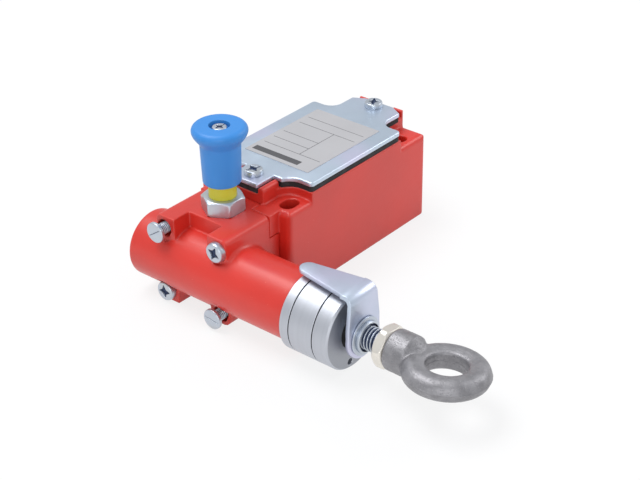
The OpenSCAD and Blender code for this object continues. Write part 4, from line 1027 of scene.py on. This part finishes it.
class SWITCH_OT_castings(bpy.types.Operator):
    """Body and head as enamelled castings with small fillets and a threaded cable entry"""

    bl_idname = "rope_switch.castings"
    bl_label = "Body and head castings"

    def execute(self, context):
        sizes = context.scene.switch_sizes
        for node, name in (("switch_body", "enamelled_body"), ("rope_head", "enamelled_head")):
            cast = recast(node, name, sizes.cast_step, sizes.cast_rounds, -0.2,
                          self.open_front if node == "rope_head" else None)
            if node == "switch_body":
                self.cut_entry(cast, sizes)
            new_piece(name, cast, node)
        return {"FINISHED"}

    def open_front(self, mesh):
        """Lets the root rings of the barrel run out in front, where no block stands beside them."""
        run_out_from, run_out_to, ring_height = 0.0056, 0.0074, 0.0012
        co = corners(mesh)
        away, radius = off_barrel(co)
        plain = radii_at("rope_head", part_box("rope_head")[0].x + MM)[1]
        front = -away[:, 0]
        fade = np.clip((front - run_out_from) / (run_out_to - run_out_from), 0.0, 1.0)
        on_ring = (radius > plain) & (radius < plain + ring_height) & (front > 0.0)
        share = np.where(on_ring, 1.0 + (plain / radius - 1.0) * fade, 1.0)
        co[:, 1:] += away * (share - 1.0)[:, None]
        set_corners(mesh, co)

    def cut_entry(self, cast, sizes):
        """Sinks the cable entry thread into the wall round its bore."""
        entry = mount("cable_entry")
        x, y, z = entry["pos_m"]
        bore, reach = entry["dims"]["r_mm"] * MM, entry["dims"]["length_mm"] * MM
        slack, lead = 0.0004, 0.0008
        co = corners(cast)
        away = co[:, (0, 2)] - np.array((x, z))
        radius = np.linalg.norm(away, axis=1)
        along = co[:, 1] - (y - reach / 2)
        on_bore = (abs(radius - bore) < slack) & (along > lead) & (along < reach - slack)
        sunk = 1.0 - valley(along, np.arctan2(away[:, 1], away[:, 0]), sizes.entry_pitch)
        co[:, (0, 2)] += away * np.where(on_bore, sizes.entry_depth * sunk / radius, 0.0)[:, None]
        set_corners(cast, co)


class SWITCH_OT_cover(bpy.types.Operator):
    """Cover plate with a rolled upper edge, gasket, ruled foil and the two cover screws"""

    bl_idname = "rope_switch.cover"
    bl_label = "Cover"

    def execute(self, context):
        sizes, gap = context.scene.switch_sizes, 0.0002
        outline = self.outline(sizes)
        screws = [Screw(points, (0, 0, 1)) for points in islands("cover_screws")]
        for node, name, inset, edge in (("cover_plate", "cover_sheet", 0.0, sizes.cover_edge),
                                        ("cover_gasket", "cover_seal", 0.00025, 0.0001)):
            low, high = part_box(node)
            bottom, top = low.z - MM, high.z + MM
            levels = [(low.z, inset), (high.z - edge, inset)]
            levels += [(high.z - edge * (1.0 - math.sin(a)), inset + edge * (1.0 - math.cos(a)))
                       for a in (math.pi / 8 * k for k in range(1, 5))]
            cutters = [turned("screw_hole", [(end, screw.shank + gap) for end in (bottom, top)], 40,
                              (screw.foot.x, screw.foot.y, 0.0), (0, 0, 1)) for screw in screws]
            if node == "cover_gasket":
                cutters.append(self.chamber(bottom, top))
            new_piece(name, bored(slab(name, outline, levels), cutters), node)
        coat("rating_label")
        dress_screws(context, "cover_screws", (0, 0, 1), "both", (0.4, 0.9), 0.35)
        return {"FINISHED"}

    def outline(self, sizes):
        """The cover seen from above, its corners hollowed along the pockets of the body."""
        low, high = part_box("cover_plate")
        half, head, entry = high.x, low.y + sizes.cover_head, high.y - sizes.cover_entry
        shoulder, reach = low.y + sizes.cover_shoulder, sizes.head_hollow
        middle = Vector((sizes.cover_spine + reach, head - reach))
        first = math.pi - math.asin((shoulder - middle.y) / reach)
        hollow = [(middle.x + reach * math.cos(a), middle.y + reach * math.sin(a), 0.0)
                  for a in np.linspace(first, math.pi / 2, 12)]
        waist, chamfer = sizes.cover_waist, sizes.cover_chamfer
        side = [(sizes.cover_tongue, low.y, 0.0006), (sizes.cover_tongue, shoulder, 0.0003), *hollow,
                (half, head, 0.0014), (half, entry, 0.0014), (waist, entry, sizes.entry_hollow),
                (waist, high.y - chamfer * 0.54, 0.0006), (waist - chamfer, high.y, 0.0006)]
        return rounded(side + [(-x, y, radius) for x, y, radius in reversed(side)])

    def chamber(self, bottom, top):
        """What the gasket leaves open over the wiring chamber."""
        co, corner = abs(corners_of("cover_gasket")), 0.0024
        inner = co[(co[:, 0] < 0.018) & (co[:, 1] < 0.023)]
        half_x, half_y = inner[:, 0].max(), inner[:, 1].max()
        box = rounded([(x * half_x, y * half_y, corner)
                       for x, y in ((-1, -1), (1, -1), (1, 1), (-1, 1))])
        return slab("chamber_opening", box, [(bottom, 0.0), (top, 0.0)])


class SWITCH_OT_head_screws(bpy.types.Operator):
    """The four threaded screws on the front of the head"""

    bl_idname = "rope_switch.head_screws"
    bl_label = "Head screws"

    def execute(self, context):
        sizes = context.scene.switch_sizes
        dress_screws(context, "head_screws_cross", (0, -1, 0), "cross", (0.4, 0.5), 0.4,
                     (sizes.cross_head, sizes.cross_height, False))
        dress_screws(context, "head_screws_slotted", (0, -1, 0), "slot", (-0.17, 2.41), 0.6,
                     (sizes.slotted_head, sizes.slotted_height, True))
        return {"FINISHED"}


class SWITCH_OT_cap(bpy.types.Operator):
    """Turned cap with two narrow grooves and a spanner hole, and its wiper"""

    bl_idname = "rope_switch.cap"
    bl_label = "Barrel cap"

    def execute(self, context):
        low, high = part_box("barrel_cap")
        wiper_low, wiper_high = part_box("rod_wiper")
        radius, seat = (high.z - low.z) / 2, (wiper_high.z - wiper_low.z) / 2
        inner, nose_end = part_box("spring_seat")[1].x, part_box("rope_head")[1].x
        nose = radii_at("barrel_cap", low.x)[0]
        rod_hole, bore = radii_at("barrel_cap", inner)
        half, depth = context.scene.switch_sizes.groove_width / 2, 0.0006
        edge, corner = 0.00012, 0.0006
        rows = [(low.x, nose), (low.x, radius - edge), (low.x + edge, radius)]
        for groove in self.grooves(low.x, radius):
            rows += [(groove + side * out, radius - deep) for side, out, deep in (
                (-1, half + edge, 0.0), (-1, half, edge), (-1, half, depth),
                (1, half, depth), (1, half, edge), (1, half + edge, 0.0))]
        rows += [(high.x - corner, radius), (high.x, radius - corner), (high.x, seat + edge),
                 (high.x - edge, seat), (wiper_low.x, seat), (wiper_low.x, rod_hole),
                 (inner, rod_hole), (inner, bore), (nose_end, bore), (nose_end, nose)]
        cap = turned("turned_cap", rows, 160, BARREL_AXIS, (1, 0, 0), True)
        new_piece("turned_cap", self.drill(cap, high.x, radius), "barrel_cap")
        coat("rod_wiper")
        return {"FINISHED"}

    def grooves(self, start, radius):
        """Where the middles of the two grooves lie, found from the vertices under the skin."""
        co = corners_of("barrel_cap")
        away = off_barrel(co)[1]
        under = co[(away < radius - 0.4 * MM) & (away > radius - MM), 0]
        before_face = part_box("barrel_cap")[1].x - 2 * MM
        return sorted({round(float(x), 5) for x in under if start + MM < x < before_face})

    def drill(self, cap, face, radius):
        """Sinks the spanner hole, which the solid shows on its end face."""
        co = corners_of("barrel_cap")
        far = off_barrel(co)[1]
        rim = co[(co[:, 0] > face - TOUCH) & (far > radius * 0.6) & (far < radius - 0.0014)]
        low, high = rim.min(axis=0), rim.max(axis=0)
        hole, flare = (high - low)[1] / 2, 0.00035
        bit = turned("spanner_hole", [(-4.5 * hole, hole * 0.02), (-4 * hole, hole),
                                      (-0.00015, hole), (0.0002, hole + flare)],
                     40, (high + low) / 2, (1, 0, 0))
        return bored(cap, [bit])


class SWITCH_OT_pointer(bpy.types.Operator):
    """Bent pointer plate with its washer and collar"""

    bl_idname = "rope_switch.pointer"
    bl_label = "Pointer plate"

    def execute(self, context):
        edge = context.scene.switch_sizes.pointer_edge
        new_piece("pointer_sheet", eased("pointer_plate", "pointer_sheet", edge, 2), "pointer_plate")
        low, high, hole, radius = self.measured("pointer_washer")
        edge = 0.00015
        self.washer("plain_washer", "pointer_washer", [
            (low, hole), (low, radius - edge), (low + edge, radius), (high - 2 * edge, radius),
            (high - edge * 0.6, radius - edge * 0.6), (high, radius - 2 * edge), (high, hole)])
        low, high, hole, radius = self.measured("lock_collar")
        wide = radius - 0.00065
        self.washer("bored_collar", "lock_collar", [
            (low, hole), (low, radius), (high - 2 * edge, radius), (high, radius - 2 * edge),
            (high, wide), (low + edge, wide), (low + edge, hole)], 5)
        return {"FINISHED"}

    def measured(self, node):
        """Where a washer starts and ends along the rod, its hole and its radius."""
        low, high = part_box(node)
        return low.x, high.x, radii_at(node, low.x)[0], (high.z - low.z) / 2

    def washer(self, name, node, rows, open_rows=None, steps=120):
        """Puts a turned ring in place of a solid. The rows after the open ones lie in a recess and are
        marked for painted shade.
        """
        mesh = turned(name, rows, steps, BARREL_AXIS, (1, 0, 0), True)
        keep_depth_for_painted_shade(mesh, np.repeat(np.arange(len(rows)) >= (open_rows or len(rows)), steps))
        new_piece(name, mesh, node)


class SWITCH_OT_rod(bpy.types.Operator):
    """Draw rod with a cut thread, and the jam nut"""

    bl_idname = "rope_switch.rod"
    bl_label = "Draw rod"

    def execute(self, context):
        sizes, angles = context.scene.switch_sizes, around(96)
        low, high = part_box("draw_rod")
        washer_low, washer_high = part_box("pointer_washer")
        shoulder = (high.z - low.z) / 2
        plate_back = washer_low.x - 0.0015
        shoulder_back = plate_back - 0.0017
        tail_end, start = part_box("cam_spool")[1].x, washer_high.x
        radius, tail = radii_at("draw_rod", high.x)[1], radii_at("draw_rod", low.x)[1]
        pitch, depth, edge = sizes.rod_pitch, sizes.rod_depth, 0.0002
        rows = [(low.x, tail - edge), (low.x + edge, tail), (tail_end, tail), (tail_end, radius),
                (shoulder_back, radius), (shoulder_back, shoulder), (plate_back, shoulder),
                (plate_back, radius), (start, radius)]
        rings = [ring(r, along, angles) for along, r in rows]
        sunk = [np.zeros(len(angles))] * len(rings)
        step = pitch / 16
        for k in range(1, int((high.x - start) / step)):
            along = start + k * step
            sunk.append(min(1.0, k * step / pitch) * valley(along, angles, pitch))
            rings.append(ring(radius - depth * sunk[-1], along, angles))
        rings.append(ring(radius - depth, high.x, angles))
        sunk.append(sunk[0])
        mesh = ring_mesh("threaded_rod", rings, BARREL_AXIS, (1, 0, 0))
        # The thread valleys are marked for painted shade
        keep_depth_for_painted_shade(mesh, np.concatenate(sunk))
        new_piece("threaded_rod", mesh, "draw_rod")
        self.nut(sizes, radius)
        return {"FINISHED"}

    def nut(self, sizes, bore):
        """The jam nut, its corners turned down at both ends."""
        low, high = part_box("jam_nut")
        flats, trim = sizes.nut_flats, sizes.nut_trim
        drop_to, bevel = flats / 2 - 0.0002, 0.0004
        fall, halfway = trim - drop_to, (trim + drop_to) / 2
        start = [(low.x, drop_to), (low.x + 0.35 * fall, halfway), (low.x + 0.9 * fall, trim)]
        limits = start + [(low.x + high.x - along, limit) for along, limit in reversed(start)]
        inner = [(high.x, bore + bevel), (high.x - bevel, bore + 0.00003),
                 (low.x + bevel, bore + 0.00003), (low.x, bore + bevel)]
        new_piece("turned_nut", nut_mesh("turned_nut", "jam_nut", (1, 0, 0), flats, limits, inner),
                  "jam_nut")


class SWITCH_OT_eye(bpy.types.Operator):
    """Cast rope eye with fillets and a rough skin"""

    bl_idname = "rope_switch.eye"
    bl_label = "Rope eye"

    def execute(self, context):
        sizes = context.scene.switch_sizes
        cast = recast("rope_eye", "cast_eye", sizes.eye_step, sizes.eye_rounds, -0.25)
        self.roughen(cast, sizes.eye_grit)
        new_piece("cast_eye", cast, "rope_eye")
        return {"FINISHED"}

    def roughen(self, mesh, height):
        """Pushes the skin in along its normals by a little solid noise."""
        co = corners(mesh)
        out = np.empty(len(co) * 3)
        mesh.vertices.foreach_get("normal", out)
        grit = np.array([noise.fractal(Vector(p) * 900.0, 0.9, 2.1, 3) for p in co])
        set_corners(mesh, co - out.reshape(-1, 3) * (height * (0.5 + 0.5 * grit))[:, None])


class SWITCH_OT_knob(bpy.types.Operator):
    """Reset knob, its screw, the yellow sleeve, the bush and the stem"""

    bl_idname = "rope_switch.knob"
    bl_label = "Reset knob"

    def execute(self, context):
        sizes = context.scene.switch_sizes
        low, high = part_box("reset_knob")
        radius, rim = (high.x - low.x) / 2, sizes.knob_rim
        top, widest = high.z, high.z - rim
        neck_at, neck = top - sizes.knob_head, sizes.knob_neck
        screw_low, screw_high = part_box("knob_screw")
        recess, foot = sizes.knob_recess, sizes.knob_foot
        hole = min(recess * 0.6, (screw_high.x - screw_low.x) / 2) / 2
        roof, floor = top - sizes.knob_roof, top - sizes.knob_recess_depth
        foot_edge, recess_edge = 0.0007, 0.0004
        rows = [(roof, sizes.knob_bore), (low.z, sizes.knob_bore), (low.z, foot - foot_edge)]
        rows += swept(rows[-1], (low.z, foot - 0.0003), (low.z + 0.0003, foot),
                      (low.z + foot_edge, foot), 6)
        rows += [(neck_at - 0.0008, neck - 0.00002), (neck_at - 0.0002, neck)]
        rows += swept(rows[-1], (neck_at + 0.0010, neck + 0.0002), (widest - 0.0018, radius),
                      (widest, radius), 16)
        rows += swept((widest, radius), (widest + 0.55 * rim, radius),
                      (top, radius - 0.45 * rim), (top, radius - rim), 10)
        rows += [(top, recess + recess_edge)]
        rows += swept(rows[-1], (top, recess), (top, recess), (top - recess_edge, recess), 4)
        rows += [(floor, recess), (floor, hole), (roof, hole)]
        new_piece("moulded_knob", turned("moulded_knob", rows, 144, KNOB_AXIS, (0, 0, 1), True),
                  "reset_knob")
        dress_screws(context, "knob_screw", (0, 0, 1), "both", (0.7, 0.0))
        self.bush(sizes)
        coat("indicator_sleeve", "reset_stem", "reset_spring")
        return {"FINISHED"}

    def bush(self, sizes):
        """The hexagonal bush, turned down at its upper corners, with its threaded foot."""
        low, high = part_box("reset_bush")
        seat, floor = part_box("rope_head")[1].z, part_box("indicator_sleeve")[0].z
        hole, shank = radii_at("reset_bush", low.z, 2, KNOB_AXIS)
        recess = radii_at("reset_bush", high.z, 2, KNOB_AXIS)[0]
        corner, bevel, edge = sizes.bush_flats / math.sqrt(3.0), 0.0004, 0.0005
        drop_to = sizes.bush_flats / 2 - 0.0003
        limits = [(low.z, shank - edge), (low.z + edge, shank), (seat, shank),
                  (seat, corner - bevel), (seat + bevel, corner),
                  (high.z - 0.62 * (corner - drop_to), corner), (high.z, drop_to)]
        inner = [(high.z, recess), (floor, recess), (floor, hole), (low.z, hole)]
        new_piece("turned_bush", nut_mesh("turned_bush", "reset_bush", (0, 0, 1), sizes.bush_flats,
                                          limits, inner), "reset_bush")


class SWITCH_OT_inside(bpy.types.Operator):
    """Contacts, plunger, cone, springs and seals inside the housing"""

    bl_idname = "rope_switch.inside"
    bl_label = "Inner pieces"

    def execute(self, context):
        for node in ("block_screws", "terminal_screws"):
            dress_screws(context, node, (0, 0, 1), "both", (0.4, 0.7))
        coat("contact_block", "fixed_contacts", "wire_clamps", "earth_screw", "head_seal",
             "spring_seat", "draw_spring", "cam_spool", "spool_nut", "switch_plunger",
             "contact_bridge", "plunger_spring")
        return {"FINISHED"}


class SWITCH_OT_stage(bpy.types.Operator):
    """Pale floor, soft lamps and the camera"""

    bl_idname = "rope_switch.stage"
    bl_label = "Studio"

    def execute(self, context):
        scene, studio = context.scene, context.scene.switch_studio
        scene.view_settings.view_transform = "Standard"
        self.floor()
        self.sky(scene, studio.sky)
        self.lamp("key_lamp", (-0.25, -0.15, 0.75), (0.0, -0.02, 0.02), 0.55, studio.key_power)
        self.lamp("fill_lamp", (0.55, -0.75, 0.35), (0.02, -0.04, 0.02), 0.45, studio.fill_power)
        self.lamp("rim_lamp", (0.35, 0.60, 0.45), (0.0, 0.0, 0.02), 0.40, studio.rim_power)
        self.camera(scene, studio)
        return {"FINISHED"}

    def floor(self):
        reach, level = 3.0, CAD_BOX[0].z - 0.0002
        points = [(x, y, level) for y in (-reach, reach) for x in (-reach, reach)]
        floor = stand("studio_floor", mesh_from("studio_floor", points, [(0, 1, 3, 2)]))
        f = Finish("floor_paper")
        rays = f.add("ShaderNodeLightPath")
        seen = rays["Is Camera Ray"] + rays["Is Glossy Ray"] + rays["Is Transmission Ray"]
        tone = f.blend(f.noise(260.0, 2.0), (0.79, 0.79, 0.80), (0.81, 0.81, 0.82))
        paper = f.add("ShaderNodeBsdfDiffuse", None, {"Color": tone})["BSDF"]
        glow = f.add("ShaderNodeEmission", None, {"Color": WHITE, "Strength": 1.0})["Emission"]
        f.add("ShaderNodeOutputMaterial", None,
              {"Surface": f.mixed(seen.between(0.0, 0.5) * 0.80, paper, glow)})
        floor.data.materials.append(f.material)

    def sky(self, scene, strength):
        scene.world = bpy.data.worlds.new("studio_sky")
        air = Nodes(scene.world)
        seen = air.add("ShaderNodeLightPath")["Is Camera Ray"]
        plain, white = (air.add("ShaderNodeBackground", None, {"Color": tone, "Strength": bright})
                        for tone, bright in (((0.95, 0.97, 1.0, 1.0), strength), (WHITE, 1.0)))
        air.add("ShaderNodeOutputWorld", None,
                {"Surface": air.mixed(seen, plain["Background"], white["Background"])})

    def lamp(self, name, place, target, size, power):
        data = bpy.data.lights.new(name, "AREA")
        data.shape, data.size, data.size_y, data.energy = "RECTANGLE", size, size * 0.7, power
        lamp = stand(name, data)
        lamp.location = place
        lamp.rotation_euler = (Vector(target) - Vector(place)).to_track_quat("-Z", "Y").to_euler()

    def camera(self, scene, studio):
        az, el, roll = studio.azimuth, studio.elevation, studio.roll
        back = Vector((math.sin(az) * math.cos(el), -math.cos(az) * math.cos(el), math.sin(el)))
        right = Vector((math.cos(az), math.sin(az), 0.0))
        up = back.cross(right)
        turned_right = right * math.cos(roll) + up * math.sin(roll)
        turned_up = up * math.cos(roll) - right * math.sin(roll)
        data = bpy.data.cameras.new("studio_camera")
        data.sensor_width, data.lens = 36.0, studio.lens
        data.shift_x, data.shift_y = studio.shift_x, studio.shift_y
        data.clip_start, data.clip_end = 0.01, 20.0
        camera = stand("studio_camera", data)
        place = turned_right * studio.side + turned_up * studio.lift + back * studio.distance
        turn = Matrix((turned_right, turned_up, back)).transposed().to_4x4()
        camera.matrix_world = Matrix.Translation(place) @ turn
        scene.camera = camera


class SWITCH_PT_panel(bpy.types.Panel):
    """Lists the pieces of the switch and their sizes"""

    bl_idname = "SWITCH_PT_panel"
    bl_label = "Rope pull switch"
    bl_space_type = "VIEW_3D"
    bl_region_type = "UI"
    bl_category = "Rope Switch"

    def draw(self, context):
        column = self.layout.column(align=True)
        for operator in OPERATORS:
            column.operator(operator.bl_idname)
        for name, kind in GROUPS.items():
            box = self.layout.box()
            for field in kind.__annotations__:
                box.prop(getattr(context.scene, name), field)


GROUPS = {"switch_colours": SwitchColours, "switch_sizes": SwitchSizes,
          "switch_studio": SwitchStudio}
OPERATORS = (SWITCH_OT_castings, SWITCH_OT_cover, SWITCH_OT_head_screws, SWITCH_OT_cap,
             SWITCH_OT_pointer, SWITCH_OT_rod, SWITCH_OT_eye, SWITCH_OT_knob,
             SWITCH_OT_inside, SWITCH_OT_stage)
CLASSES = (*GROUPS.values(), *OPERATORS, SWITCH_PT_panel)


def register():
    for kind in CLASSES:
        bpy.utils.register_class(kind)
    for name, kind in GROUPS.items():
        setattr(bpy.types.Scene, name, PointerProperty(type=kind))


def unregister():
    for name in GROUPS:
        delattr(bpy.types.Scene, name)
    for kind in reversed(CLASSES):
        bpy.utils.unregister_class(kind)


def main():
    register()
    for operator in OPERATORS:
        group, name = operator.bl_idname.split(".")
        getattr(getattr(bpy.ops, group), name)()


if __name__ == "__main__":
    main()
